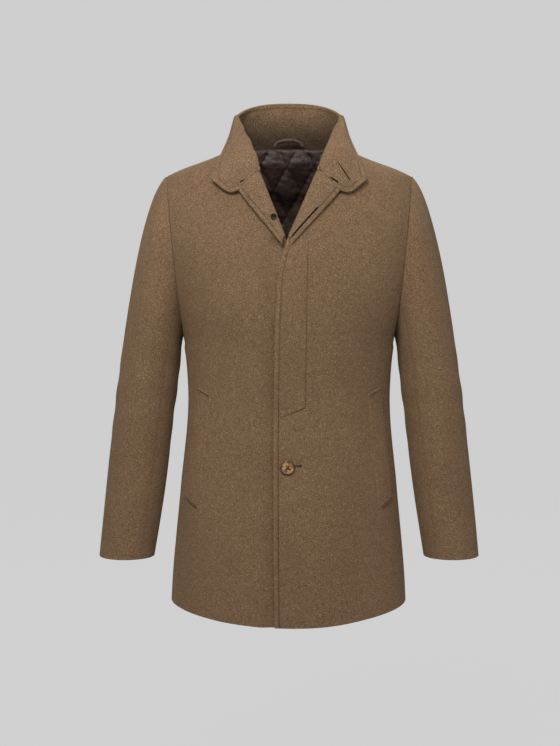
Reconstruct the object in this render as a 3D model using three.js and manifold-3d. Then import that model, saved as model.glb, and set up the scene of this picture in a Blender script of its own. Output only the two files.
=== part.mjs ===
// A stand-collar car coat in heavy wool, worn half open at the neck, as a scene of separate closed pieces.
// Millimetres, +Z up. The wearer faces -Y and the wearer's left arm is at +X. The origin is the middle of
// the shoulder line, where a hanger or the wearer's shoulders carry the coat.
import * as THREE from 'three';
import { mergeVertices } from 'three/addons/utils/BufferGeometryUtils.js';
import Module from 'manifold-3d';

const wasm = await Module();
wasm.setup();

// ---- driving dimensions ----
const HEM_Z = -819; // lowest point of the front hem
const HEM_LIFT = 25; // how much higher the hem is at the side seams
const SHOULDER_Z = -40; // shoulder tip, the top of the armhole
const SHOULDER_X = 216;
const ARMPIT_Z = -322; // bottom of the armhole
const ARMPIT_X = 187.5;
const ARMHOLE_HALF_DEPTH = 76;
const SECTION_POWER = 2.35; // how square the body's horizontal sections are
const SIDE_SEAM_SHARE = 0.967; // side seams, as a share of the half width
const WOOL = 2.6; // thickness of the coat cloth
const GAP = 0.4; // clearance between neighbouring layers
const UNDERLAP = 10.5; // how far the right front lies behind the left one where they overlap
const WELT_OUT = 2; // clearance between a pocket welt and the front below it
const LAPEL_OUT = 2; // clearance between a turned lapel and the front below it
const LAPEL_THICK = 4;
const LINING_DEPTH = 9; // from the outer face of the coat to the lining
const LINING_THICK = 3;
const PAD_DEPTH = 8; // extra room over the shoulder pads
const ELBOW_Z = -425; // elbow hinge height
const ELBOW_ROOM = 42; // half the length of the soft elbow stretch
const CUFF_Z = -712;
const CUFF_TURN = 40; // depth of the turned-up cuff inside
const SLEEVE_LINING_DEPTH = 3.4;
const SLEEVE_LINING_THICK = 1.4;
const NECK_Z = -1.5; // top row of the body panels
const NECK_RISE = 10; // how much higher the back neck is
const BUTTON_Z = -542;
const BUTTON_X = -3;
const BUTTON_RADIUS = 12.5;
const BUTTON_THICK = 3.6;
const FLY_BUTTON_HEIGHTS = [-238, -345, -448];

// ---- colours of the materials ----
const WOOL_BROWN = [0x7c6650, 0.95, 0];
const WOOL_DARK = [0x6b5743, 0.95, 0];
const SATIN_DARK = [0x2d2423, 0.45, 0];
const CANVAS_ECRU = [0xb9ad95, 0.9, 0];
const FELT_GREY = [0x8a8580, 0.95, 0];
const HORN = [0x8f6a35, 0.35, 0];
const HORN_DARK = [0x241a14, 0.4, 0];
const THREAD = [0x5a4634, 0.9, 0];

// ---- curves that give the shape ----
function profile(pairs) {
  const heights = pairs.map((pair) => pair[0]);
  const values = pairs.map((pair) => pair[1]);
  const curve = new THREE.CubicInterpolant(heights, values, 1);
  return (z) => curve.evaluate(z)[0];
}

const sideWidth = profile([[-845, 210], [-720, 203], [-594, 191], [-411, 178], [-335, 185], [ARMPIT_Z, ARMPIT_X]]);
const shoulderWidth = profile([[SHOULDER_Z, SHOULDER_X], [-28, 190], [-12, 146], [0, 117]]);
const frontDepth = profile([[-845, 150], [-640, 139], [-430, 126], [-260, 136], [-150, 126], [-40, 96], [0, 75]]);
const backDepth = profile([[-845, 142], [-600, 124], [-430, 101], [-300, 112], [-170, 120], [-80, 108], [-40, 94], [0, 75]]);
const sleeveOuter = profile([[CUFF_Z, 337], [-550, 322], [-438, 310], [-350, 298]]);
const sleeveInner = profile([[CUFF_Z, 240], [-595, 222], [-438, 203], [-350, 191]]);
const sleeveDepth = profile([[CUFF_Z, 52], [-595, 59], [-438, 70], [-350, 77]]);
const sleevePitch = profile([[CUFF_Z, -30], [-595, -16], [-438, -4], [-350, 0]]);
const frontEdge = profile([[-845, -25], [-640, -27], [-400, -26], [-260, -22], [-205, -18], [-172, -10], [-153, -5]]);
const underEdge = profile([[-845, 25], [-240, 25], [-205, 20], [-172, 6], [-153, -5]]);
const leftRoll = profile([[-153, -5], [-96, 24], [-38, 46]]);
const rightRoll = profile([[-153, -5], [-96, -27], [-38, -50]]);
const neckLine = profile([[-38, 48], [-27, 60], [-16, 80], [-6, 100], [NECK_Z, 112]]);

const rootOf = (value) => Math.pow(Math.max(value, 0), 1 / SECTION_POWER);
const mix = THREE.MathUtils.lerp;

// 0 at from, 1 at to, eased at both ends; to may be below from
function smooth(from, to, value) {
  const t = THREE.MathUtils.clamp((value - from) / (to - from), 0, 1);
  return t * t * (3 - 2 * t);
}

// ---- the armhole: an oval in a nearly upright plane ----
const ARMHOLE_MID_Z = (SHOULDER_Z + ARMPIT_Z) / 2;
const ARMHOLE_HALF_HEIGHT = (SHOULDER_Z - ARMPIT_Z) / 2;
const SEAM_TOP_Z = ARMHOLE_MID_Z - 0.83 * ARMHOLE_HALF_HEIGHT; // where a side seam runs into the armhole

function armholeX(z) {
  return mix(ARMPIT_X, SHOULDER_X, (z - ARMPIT_Z) / (SHOULDER_Z - ARMPIT_Z));
}

function armholeY(z) {
  const share = (z - ARMHOLE_MID_Z) / ARMHOLE_HALF_HEIGHT;
  return ARMHOLE_HALF_DEPTH * Math.sqrt(Math.max(0, 1 - share * share));
}

// ---- the body: a squared oval at every height ----
function halfWidth(z, deep) {
  if (z <= ARMPIT_Z) return sideWidth(z);
  if (z >= SHOULDER_Z) return shoulderWidth(z);
  return armholeX(z) / rootOf(1 - Math.pow(armholeY(z) / deep, SECTION_POWER));
}

// share runs from -1 to 1 across the half width, and facing is -1 at the front and 1 at the back
function bodyPoint(share, z, depth, facing) {
  const deep = facing < 0 ? frontDepth(z) : backDepth(z);
  const wide = halfWidth(z, deep);
  const across = THREE.MathUtils.clamp(share, -1, 1);
  const forward = rootOf(1 - Math.pow(Math.abs(across), SECTION_POWER));
  const lift = HEM_LIFT * across * across * smooth(-680, HEM_Z, z);
  const rise = facing > 0 ? NECK_RISE * forward * forward * smooth(-50, 0, z) : 0;
  const drop = depth * smooth(-90, SHOULDER_Z, z);
  return new THREE.Vector3(
    across * (wide - depth),
    facing * (forward * (deep - depth) + GAP / 2),
    z + lift + rise - drop,
  );
}

// a share of the half width as an angle round the section, so that columns spread evenly round the body
function turnOf(share) {
  return Math.asin(Math.sign(share) * Math.pow(Math.min(Math.abs(share), 1), SECTION_POWER / 2));
}

function shareOf(turn) {
  return Math.sign(turn) * Math.pow(Math.abs(Math.sin(turn)), 2 / SECTION_POWER);
}

function mixShares(from, to, u) {
  return shareOf(mix(turnOf(from), turnOf(to), u));
}

function shareAtX(x, z, facing) {
  return x / halfWidth(z, facing < 0 ? frontDepth(z) : backDepth(z));
}

// the outer border of a front or back panel: side seam, then armhole, then shoulder ridge
function outerShare(z, facing) {
  if (z >= SHOULDER_Z) return 1;
  if (z < SEAM_TOP_Z) return SIDE_SEAM_SHARE;
  const armhole = shareAtX(armholeX(z), z, facing);
  return z < ARMHOLE_MID_Z ? Math.min(SIDE_SEAM_SHARE, armhole) : armhole;
}

// ---- building closed pieces ----
// pointAt(u, v, inner) gives a corner of the outer or inner grid; a ring closes on itself along u
function skin(pointAt, columns, rows, ring = false) {
  const count = ring ? columns : columns + 1;
  const positions = [];
  for (const inner of [false, true]) {
    for (let row = 0; row <= rows; row += 1) {
      for (let column = 0; column < count; column += 1) {
        positions.push(...pointAt(column / columns, row / rows, inner).toArray());
      }
    }
  }
  const corner = (inner, row, column) => (inner * (rows + 1) + row) * count + (column % count);
  const index = [];
  const quad = (a, b, c, d) => index.push(a, b, c, a, c, d);
  for (let row = 0; row < rows; row += 1) {
    for (let column = 0; column < columns; column += 1) {
      const next = column + 1;
      quad(corner(0, row, column), corner(0, row, next), corner(0, row + 1, next), corner(0, row + 1, column));
      quad(corner(1, row, column), corner(1, row + 1, column), corner(1, row + 1, next), corner(1, row, next));
    }
  }
  for (let column = 0; column < columns; column += 1) {
    const next = column + 1;
    quad(corner(0, 0, column), corner(1, 0, column), corner(1, 0, next), corner(0, 0, next));
    quad(corner(0, rows, column), corner(0, rows, next), corner(1, rows, next), corner(1, rows, column));
  }
  for (let row = 0; row < rows && !ring; row += 1) {
    quad(corner(0, row, 0), corner(0, row + 1, 0), corner(1, row + 1, 0), corner(1, row, 0));
    quad(corner(0, row, columns), corner(1, row, columns), corner(1, row + 1, columns), corner(0, row + 1, columns));
  }
  const geometry = new THREE.BufferGeometry();
  geometry.setAttribute('position', new THREE.Float32BufferAttribute(positions, 3));
  geometry.setIndex(index);
  return facingOut(geometry);
}

function facingOut(geometry) {
  const at = geometry.getAttribute('position');
  const index = geometry.getIndex();
  const corners = [new THREE.Vector3(), new THREE.Vector3(), new THREE.Vector3()];
  let volume = 0;
  for (let i = 0; i < index.count; i += 3) {
    corners.forEach((corner, k) => corner.fromBufferAttribute(at, index.getX(i + k)));
    volume += corners[0].dot(corners[1].clone().cross(corners[2]));
  }
  if (volume < 0) {
    const turned = Array.from(index.array);
    for (let i = 0; i < turned.length; i += 3) {
      [turned[i], turned[i + 1]] = [turned[i + 1], turned[i]];
    }
    geometry.setIndex(turned);
  }
  geometry.computeVertexNormals();
  return geometry;
}

function solidOf(geometry) {
  const bare = geometry.clone();
  bare.deleteAttribute('normal');
  bare.deleteAttribute('uv');
  const merged = mergeVertices(bare, 1e-4);
  return new wasm.Manifold(new wasm.Mesh({
    numProp: 3,
    vertProperties: new Float32Array(merged.getAttribute('position').array),
    triVerts: new Uint32Array(merged.getIndex().array),
  }));
}

function geometryOf(solid) {
  const mesh = solid.getMesh();
  const geometry = new THREE.BufferGeometry();
  geometry.setAttribute('position', new THREE.BufferAttribute(new Float32Array(mesh.vertProperties), 3));
  geometry.setIndex(new THREE.BufferAttribute(new Uint32Array(mesh.triVerts), 1));
  geometry.computeVertexNormals();
  return geometry;
}

const coat = new THREE.Group();

function addPiece(name, geometry, [color, roughness, metalness]) {
  const material = new THREE.MeshStandardMaterial({ color, roughness, metalness });
  const piece = new THREE.Mesh(geometry, material);
  piece.name = name;
  coat.add(piece);
  return piece;
}

// a value picked along a list of row heights, for rows that sit closer together where the shape turns
function alongList(list, v) {
  const place = v * (list.length - 1);
  const lower = Math.min(Math.floor(place), list.length - 2);
  return mix(list[lower], list[lower + 1], place - lower);
}

const SIDES = [['left', 1], ['right', -1]];

// ---- front panels ----
const SKIRT_ROWS = [HEM_Z, -750, -650, -550, -450, -360, SEAM_TOP_Z]; // hem to the top of the side seams
const FRONT_ROWS = [...SKIRT_ROWS, -240, -190, -153, -110, -70, SHOULDER_Z, -38, -27, -16, -6, NECK_Z];

function innerX(side, z) {
  if (z > -38) return side * neckLine(z);
  if (z > -153) return side > 0 ? leftRoll(z) : rightRoll(z);
  return side > 0 ? frontEdge(z) : underEdge(z);
}

// the right front steps inwards between STEP_X and STEP_END_X, where the left front covers it
const STEP_X = -28;
const STEP_END_X = -52;

function overlapDepth(side, x, z) {
  if (side > 0) return 0;
  return UNDERLAP * smooth(STEP_END_X, STEP_X, x) * smooth(-140, -165, z);
}

function frontPoint(side, x, z, depth) {
  return bodyPoint(shareAtX(x, z, -1), z, depth + overlapDepth(side, x, z), -1);
}

// a layer of a front between two border curves in x, given as functions of the height
function frontLayer(side, fromX, toX, depth, thick, rows, columns) {
  const pointAt = (u, v, inner) => {
    const z = alongList(rows, v);
    const share = mixShares(shareAtX(fromX(z), z, -1), shareAtX(toX(z), z, -1), u);
    const x = share * halfWidth(z, frontDepth(z));
    const extra = typeof depth === 'function' ? depth(z, u) : depth;
    return frontPoint(side, x, z, extra + (inner ? thick : 0));
  };
  return skin(pointAt, columns, rows.length - 1);
}

// the outer border in x; the inset leaves room at the side seam and round the armhole, not on the shoulder
function outerX(side, z, inset) {
  const clear = z < SHOULDER_Z ? inset : 0;
  return side * (outerShare(z, -1) * halfWidth(z, frontDepth(z)) - clear);
}

function slitBox(x, z, width, height) {
  return solidOf(new THREE.BoxGeometry(width, 60, height).translate(x, -frontDepth(z), z));
}

const leftPanel = frontLayer(1, (z) => innerX(1, z), (z) => outerX(1, z, GAP), 0, WOOL, FRONT_ROWS, 8);
const BUTTON_SLIT = { x: BUTTON_X + 13, width: 34, height: 4 };
const buttonSlit = slitBox(BUTTON_SLIT.x, BUTTON_Z, BUTTON_SLIT.width, BUTTON_SLIT.height);
addPiece('left_front_panel', geometryOf(solidOf(leftPanel).subtract(buttonSlit)), WOOL_BROWN);

// the right front has a column line at each end of its step
const STEP_COLUMNS = 3;
const UNDER_COLUMNS = 9;
const STEP_RUN = 24; // from the right front's edge to the end of its step

function underPoint(u, v, inner) {
  const z = alongList(FRONT_ROWS, v);
  const from = innerX(-1, z);
  const stepEnd = Math.min(STEP_END_X, from - STEP_RUN);
  const stepStart = z < -153 ? STEP_X : mix(from, stepEnd, 2 / STEP_COLUMNS);
  const place = u * UNDER_COLUMNS;
  let x = mix(from, stepStart, place / (STEP_COLUMNS - 1));
  if (place >= STEP_COLUMNS) {
    const beyond = (place - STEP_COLUMNS) / (UNDER_COLUMNS - STEP_COLUMNS);
    const outer = shareAtX(outerX(-1, z, GAP), z, -1);
    x = mixShares(shareAtX(stepEnd, z, -1), outer, beyond) * halfWidth(z, frontDepth(z));
  }
  return frontPoint(-1, x, z, inner ? WOOL : 0);
}
addPiece('right_front_panel', skin(underPoint, UNDER_COLUMNS, FRONT_ROWS.length - 1), WOOL_BROWN);

// ---- back and side panels ----
const BACK_ROWS = [...SKIRT_ROWS, -240, -180, -110, -70, SHOULDER_Z, -25, -12, NECK_Z];

function backLayer(fromShare, toShare, depth, thick, rows, columns) {
  const pointAt = (u, v, inner) => {
    const z = alongList(rows, v);
    return bodyPoint(mixShares(fromShare(z), toShare(z), u), z, depth(z) + (inner ? thick : 0), 1);
  };
  return skin(pointAt, columns, rows.length - 1);
}

for (const [label, side] of SIDES) {
  const seam = (z) => (side * GAP) / halfWidth(z, backDepth(z));
  const border = (z) => side * (outerShare(z, 1) - (z < SHOULDER_Z ? GAP / halfWidth(z, backDepth(z)) : 0));
  addPiece(`${label}_back_panel`, backLayer(seam, border, () => 0, WOOL, BACK_ROWS, 6), WOOL_BROWN);
}

const SIDE_TURN = 0.98; // leaves the seam gap at each side of a side panel
const ARMPIT_GAP = 7 * GAP; // the side panel stops this far below the armhole

// runs round the side from the front seam to the back seam as turn goes from -1 to 1
function sidePoint(side, turn, z, depth) {
  const angle = Math.PI / 2 - (Math.PI / 2 - turnOf(SIDE_SEAM_SHARE)) * Math.abs(turn);
  return bodyPoint(side * shareOf(angle), z, depth, turn < 0 ? -1 : 1);
}

for (const [label, side] of SIDES) {
  const pointAt = (u, v, inner) => {
    const turn = mix(-SIDE_TURN, SIDE_TURN, u);
    const bottomOfArmhole = mix(ARMPIT_Z, SEAM_TOP_Z, turn * turn) - ARMPIT_GAP;
    const z = v === 1 ? bottomOfArmhole : alongList(SKIRT_ROWS, v);
    return sidePoint(side, turn, z, inner ? WOOL : 0);
  };
  addPiece(`${label}_side_panel`, skin(pointAt, 6, SKIRT_ROWS.length - 1), WOOL_BROWN);
}

// ---- inside the fronts: facings, fly strip, canvas, pocket bags ----
const FACING_DEPTH = 5;
const FACING_THICK = 1.6;
const FACING_INSET = 2; // from the front edge
const FACING_END_X = 62;
const UNDER_FACING_DEPTH = WOOL + 0.7;
const FLY_DEPTH = WOOL + 0.9;
const FLY_THICK = 1.1;
const FLY = { fromX: -18, toX: 28 };
const FACING_ROWS = [HEM_Z + 6, ...FRONT_ROWS.slice(1, 9), -180];
for (const [label, side] of SIDES) {
  const edge = side > 0 ? frontEdge : underEdge;
  const depth = side > 0 ? FACING_DEPTH : UNDER_FACING_DEPTH;
  const from = (z) => edge(z) + side * FACING_INSET;
  const to = () => (side > 0 ? FACING_END_X : STEP_X + FACING_INSET);
  let geometry = frontLayer(side, from, to, depth, FACING_THICK, FACING_ROWS, 4);
  if (side > 0) geometry = geometryOf(solidOf(geometry).subtract(buttonSlit));
  addPiece(`${label}_front_facing`, geometry, WOOL_DARK);
}
const FLY_ROWS = FRONT_ROWS.slice(4, 9);
addPiece('fly_strip', frontLayer(1, () => FLY.fromX, () => FLY.toX, FLY_DEPTH, FLY_THICK, FLY_ROWS, 3), WOOL_DARK);

const CANVAS = { fromX: 66, inset: 14, depth: WOOL + 1, thick: 1.2 };
const CANVAS_ROWS = FRONT_ROWS.slice(6, 12);
for (const [label, side] of SIDES) {
  const from = () => side * CANVAS.fromX;
  const to = (z) => outerX(side, z, CANVAS.inset);
  const canvas = frontLayer(side, from, to, CANVAS.depth, CANVAS.thick, CANVAS_ROWS, 4);
  addPiece(`${label}_chest_canvas`, canvas, CANVAS_ECRU);
}

// a slanted pocket: its mouth runs from the top pair of corners to the bottom pair
const POCKET = { top: [[157, -408], [136, -419]], bottom: [[178, -605], [157, -621]], thick: 1.8 };
const BAG = { fromX: 70, toX: 160, depth: WOOL + 1, thick: 2.4 };
const BAG_ROWS = FRONT_ROWS.slice(2, 5);
for (const [label, side] of SIDES) {
  const pointAt = (u, v, inner) => {
    const top = POCKET.top.map(([x]) => x);
    const x = mix(mix(POCKET.bottom[0][0], POCKET.bottom[1][0], u), mix(top[0], top[1], u), v);
    const z = mix(
      mix(POCKET.bottom[0][1], POCKET.bottom[1][1], u),
      mix(POCKET.top[0][1], POCKET.top[1][1], u),
      v,
    );
    return frontPoint(side, side * x, z, inner ? -WELT_OUT : -WELT_OUT - POCKET.thick);
  };
  addPiece(`${label}_pocket_welt`, skin(pointAt, 3, 6), WOOL_BROWN);
  const bag = frontLayer(side, () => side * BAG.fromX, () => side * BAG.toX, BAG.depth, BAG.thick, BAG_ROWS, 3);
  addPiece(`${label}_pocket_bag`, bag, SATIN_DARK);
}

// ---- lining ----
const liningDepth = (z) => LINING_DEPTH + PAD_DEPTH * smooth(-125, -60, z);
const LINING_START_X = 64;
const LINING_HEM = 30; // from the hem up to the lining
const LINING_CLEAR = 5; // from the armhole to the lining
const LINING_ROWS = [HEM_Z + LINING_HEM, ...FRONT_ROWS.slice(1, 13), -22, -8];

// the lining stops short of the armhole and of the ridge, so that it is clear of the other layers
function liningShare(z, facing) {
  if (z < SEAM_TOP_Z) return 0.999;
  const clear = LINING_CLEAR * smooth(0, SHOULDER_Z, z);
  return outerShare(z, facing) - clear / halfWidth(z, facing < 0 ? frontDepth(z) : backDepth(z));
}

for (const [label, side] of SIDES) {
  const from = (z) => side * (z < -120 ? LINING_START_X : Math.max(LINING_START_X, Math.abs(innerX(side, z)) + 4));
  const to = (z) => side * liningShare(z, -1) * halfWidth(z, frontDepth(z));
  const lining = frontLayer(side, from, to, liningDepth, LINING_THICK, LINING_ROWS, 5);
  addPiece(`${label}_front_lining`, lining, SATIN_DARK);
}
const backBorder = (z) => liningShare(Math.min(z, 0), 1);
const BACK_LINING_ROWS = [...LINING_ROWS.slice(0, -1), -6, 12];
addPiece(
  'back_lining',
  backLayer((z) => -backBorder(z), backBorder, liningDepth, LINING_THICK, BACK_LINING_ROWS, 12),
  SATIN_DARK,
);

// ---- shoulder pads, between the cloth and the lining, thickest at the shoulder tip ----
const PAD_TOP = WOOL + 4.2;
const PAD = { lowZ: -52, highZ: -16, clear: 9, ridgeShare: 0.985, run: 0.82, thick: 5, edgeThick: 1.5 };
for (const [label, side] of SIDES) {
  const pointAt = (u, v, inner) => {
    const facing = u < 0.5 ? -1 : 1;
    const z = mix(PAD.lowZ, PAD.highZ, v);
    const deep = facing < 0 ? frontDepth(z) : backDepth(z);
    const border = shareAtX(armholeX(z) - PAD.clear, z, facing);
    const share = z < SHOULDER_Z ? border : PAD.ridgeShare;
    const low = mixShares(PAD.run * share, share, 1 - Math.abs(2 * u - 1));
    const thick = mix(PAD.thick, PAD.edgeThick, v);
    return bodyPoint(side * low, z, PAD_TOP + (inner ? thick : 0), facing).setX(
      side * Math.min(low * (halfWidth(z, deep) - PAD_TOP), armholeX(z) - PAD.clear + 1),
    );
  };
  addPiece(`${label}_shoulder_pad`, skin(pointAt, 8, 3), FELT_GREY);
}

// ---- lapels, turned out over the fronts ----
const LAPELS = {
  left: { roll: [[1, -147], [50, -36]], outer: [[3, -160], [88, -66]] },
  right: { roll: [[-10, -147], [-54, -36]], outer: [[-12, -160], [-88, -66]] },
};

for (const [label, side] of SIDES) {
  const { roll, outer } = LAPELS[label];
  const pointAt = (u, v, inner) => {
    const x = mix(mix(roll[0][0], roll[1][0], v), mix(outer[0][0], outer[1][0], v), u);
    const z = mix(mix(roll[0][1], roll[1][1], v), mix(outer[0][1], outer[1][1], v), u);
    return bodyPoint(shareAtX(x, z, -1), z, inner ? -LAPEL_OUT : -LAPEL_OUT - LAPEL_THICK, -1);
  };
  addPiece(`${label}_lapel`, skin(pointAt, 4, 6), WOOL_BROWN);
}

// ---- collar: five lines from the neck seam over the fold to the free edge, from mid back to left front ----
const COLLAR_LINES = {
  seam: [[0, 76, 13], [58, 69, 12], [95, 51, 7], [116, 6, 3], [112, -34, 2], [82, -77, -11], [58, -93, -24]],
  stand: [[0, 79, 40], [56, 72, 39], [90, 50, 34], [98, 4, 32], [84, -30, 30], [62, -68, 6], [52, -97, -22]],
  fold: [[0, 83, 66], [54, 76, 64], [86, 49, 58], [86, 0, 62], [72, -38, 42], [60, -80, 12], [50, -105, -24]],
  fall: [[0, 86, 80], [53, 78, 78], [84, 48, 68], [90, -4, 64], [86, -46, 38], [82, -92, -4], [88, -112, -56]],
  edge: [[0, 88, 94], [52, 80, 90], [83, 46, 77], [96, -4, 57], [106, -40, 24], [122, -70, -14], [134, -96, -49]],
};
const collarCurves = Object.values(COLLAR_LINES).map((line) => {
  const points = line.map((place) => new THREE.Vector3(...place));
  const mirrored = points.slice(1).reverse().map((point) => point.clone().setX(-point.x));
  return new THREE.CatmullRomCurve3([...mirrored, ...points], false, 'centripetal');
});

function collarMid(s, t) {
  const across = new THREE.CatmullRomCurve3(collarCurves.map((curve) => curve.getPoint(s)));
  return across.getPoint(t);
}

function collarPoint(s, t, offset) {
  const step = 0.004;
  const alongStep = collarMid(Math.min(s + step, 1), t).sub(collarMid(Math.max(s - step, 0), t));
  const acrossStep = collarMid(s, Math.min(t + step, 1)).sub(collarMid(s, Math.max(t - step, 0)));
  return collarMid(s, t).addScaledVector(alongStep.cross(acrossStep).normalize(), offset);
}

function collarLayer(low, high) {
  return skin((u, v, inner) => collarPoint(u, v, inner ? high : low), 20, 7);
}
addPiece('under_collar', collarLayer(-2, -0.2), WOOL_BROWN);
addPiece('top_collar', collarLayer(0.2, 2), WOOL_BROWN);

// ---- sleeves: a cap from the armhole, then ovals down to the cuff ----
const CAP_END_Z = ELBOW_Z + ELBOW_ROOM;
const CAP_CLEAR = 1.2; // between the sleeve head and the body panels
const CAP_RINGS = [0, 0.1, 0.25, 0.45, 0.7, 1];
const SLEEVE_SIDES = 14;
const CAP_OUT = { under: 6, over: 36 }; // how far the sleeve head stands out below and above
const CAP_DOWN = { under: 12, over: 26 };

// turn is 0 at the outside of the arm, a quarter turn at the front and a half turn against the body
function tubePoint(side, turn, z, depth) {
  const middle = (sleeveOuter(z) + sleeveInner(z)) / 2;
  const half = (sleeveOuter(z) - sleeveInner(z)) / 2 - depth;
  const y = sleevePitch(z) - (sleeveDepth(z) - depth) * Math.sin(turn);
  return new THREE.Vector3(side * (middle + half * Math.cos(turn)), y, z);
}

function capPoint(side, turn, v, depth) {
  const z = ARMHOLE_MID_Z + (ARMHOLE_HALF_HEIGHT - depth) * Math.cos(turn);
  const y = -(ARMHOLE_HALF_DEPTH - depth) * Math.sin(turn);
  const start = new THREE.Vector3(side * (armholeX(z) + CAP_CLEAR), y, z);
  const outside = (1 + Math.cos(turn)) / 2;
  const out = CAP_OUT.under + CAP_OUT.over * outside;
  const down = CAP_DOWN.under + CAP_DOWN.over * outside;
  const pull = new THREE.Vector3(side * out, -10 * Math.sin(turn), -down);
  const end = tubePoint(side, turn, CAP_END_Z, depth);
  return new THREE.QuadraticBezierCurve3(start, start.clone().add(pull), end).getPoint(v);
}

function capPiece(side, depth, thick) {
  const pointAt = (u, v, inner) =>
    capPoint(side, 2 * Math.PI * u, alongList(CAP_RINGS, v), depth + (inner ? thick : 0));
  return skin(pointAt, SLEEVE_SIDES, CAP_RINGS.length - 1, true);
}

function tubePiece(side, topZ, bottomZ, depth, thick, rows) {
  const pointAt = (u, v, inner) =>
    tubePoint(side, 2 * Math.PI * u, mix(topZ, bottomZ, v), depth + (inner ? thick : 0));
  return skin(pointAt, SLEEVE_SIDES, rows, true);
}

for (const [label, side] of SIDES) {
  const elbowTop = CAP_END_Z - GAP;
  const elbowEnd = ELBOW_Z - ELBOW_ROOM + GAP;
  const forearmTop = ELBOW_Z - ELBOW_ROOM;
  addPiece(`${label}_upper_sleeve`, capPiece(side, 0, WOOL), WOOL_BROWN);
  addPiece(`${label}_elbow_cloth`, tubePiece(side, elbowTop, elbowEnd, 0, WOOL, 3), WOOL_BROWN);
  addPiece(`${label}_forearm_sleeve`, tubePiece(side, forearmTop, CUFF_Z, 0, WOOL, 5), WOOL_BROWN);
  addPiece(`${label}_upper_sleeve_lining`, capPiece(side, SLEEVE_LINING_DEPTH, SLEEVE_LINING_THICK), SATIN_DARK);
  const liningEnd = CUFF_Z + CUFF_TURN + GAP;
  const lower = tubePiece(side, forearmTop, liningEnd, SLEEVE_LINING_DEPTH, SLEEVE_LINING_THICK, 4);
  addPiece(`${label}_forearm_lining`, lower, SATIN_DARK);
  const cuff = tubePiece(side, CUFF_Z + CUFF_TURN, CUFF_Z + 1, WOOL + GAP, 2, 1);
  addPiece(`${label}_cuff_turn_up`, cuff, WOOL_DARK);
}

// ---- buttons ----
function frontFaceY(x, z, depth) {
  return bodyPoint(shareAtX(x, z, -1), z, depth, -1).y;
}

// a dished disc with a raised rim and four thread holes, its axis along Y and its back at y = 0
function buttonGeometry(radius, thick, holeRadius, holePlace) {
  const outline = [[0, 0], [0.86, 0], [0.97, 0.25], [1, 0.55], [0.97, 0.85], [0.88, 1], [0.76, 0.8], [0.6, 0.72],
    [0, 0.7]].map(([r, h]) => new THREE.Vector2(r * radius, h * thick));
  let solid = solidOf(new THREE.LatheGeometry(outline, 24));
  for (const [a, b] of [[1, 1], [1, -1], [-1, 1], [-1, -1]]) {
    const drill = new THREE.CylinderGeometry(holeRadius, holeRadius, 4 * thick, 8);
    solid = solid.subtract(solidOf(drill.translate(a * holePlace, 0, b * holePlace)));
  }
  return geometryOf(solid).rotateX(Math.PI);
}

function discGeometry(radius, thick, sides) {
  return new THREE.CylinderGeometry(radius, radius, thick, sides);
}

const buttonBackY = frontFaceY(BUTTON_X, BUTTON_Z, 0) - 1;
const button = addPiece('front_button', buttonGeometry(BUTTON_RADIUS, BUTTON_THICK, 1.1, 2.6), HORN);
button.position.set(BUTTON_X, buttonBackY, BUTTON_Z);

const shankEndY = frontFaceY(BUTTON_X, BUTTON_Z, UNDERLAP) - 0.8;
const shankLength = shankEndY - buttonBackY - GAP;
const shank = addPiece('front_button_shank', discGeometry(1.4, shankLength, 10), THREAD);
shank.position.set(BUTTON_X, (shankEndY + buttonBackY + GAP) / 2, BUTTON_Z);

const FLY_BUTTON = { x: 4, radius: 7.5, thick: 1.2, depth: FACING_DEPTH + FACING_THICK + 1.9 };
for (const [index, z] of FLY_BUTTON_HEIGHTS.entries()) {
  const disc = discGeometry(FLY_BUTTON.radius, FLY_BUTTON.thick, 14);
  const flyButton = addPiece(`fly_button_${index + 1}`, disc, HORN_DARK);
  flyButton.position.set(FLY_BUTTON.x, frontFaceY(FLY_BUTTON.x, z, FLY_BUTTON.depth), z);
}

const NECK_BUTTON = { x: -27, z: -112, radius: 5.3, thick: 2.2, depth: -LAPEL_OUT - LAPEL_THICK - 2.5 };
const neckDisc = discGeometry(NECK_BUTTON.radius, NECK_BUTTON.thick, 14);
const neckButton = addPiece('neck_button', neckDisc, HORN_DARK);
const neckButtonY = frontFaceY(NECK_BUTTON.x, NECK_BUTTON.z, NECK_BUTTON.depth);
neckButton.position.set(NECK_BUTTON.x, neckButtonY, NECK_BUTTON.z);

// ---- hanger loop: a flat tape arched between two sewn ends ----
const LOOP = { x: 25, y: 59, z: 8, rise: 18, tape: 5, thick: 1.4 };
const loopPath = new THREE.CatmullRomCurve3([
  new THREE.Vector3(-LOOP.x, LOOP.y, LOOP.z),
  new THREE.Vector3(-LOOP.x * 0.75, LOOP.y, LOOP.z + LOOP.rise * 0.72),
  new THREE.Vector3(0, LOOP.y + 1, LOOP.z + LOOP.rise),
  new THREE.Vector3(LOOP.x * 0.75, LOOP.y, LOOP.z + LOOP.rise * 0.72),
  new THREE.Vector3(LOOP.x, LOOP.y, LOOP.z),
]);
const tapeSection = new THREE.Shape([
  new THREE.Vector2(-LOOP.thick / 2, -LOOP.tape / 2),
  new THREE.Vector2(LOOP.thick / 2, -LOOP.tape / 2),
  new THREE.Vector2(LOOP.thick / 2, LOOP.tape / 2),
  new THREE.Vector2(-LOOP.thick / 2, LOOP.tape / 2),
]);
const loopGeometry = new THREE.ExtrudeGeometry(tapeSection, { steps: 12, extrudePath: loopPath });
addPiece('hanger_loop', loopGeometry, SATIN_DARK);

export default coat;
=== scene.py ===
import math

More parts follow.
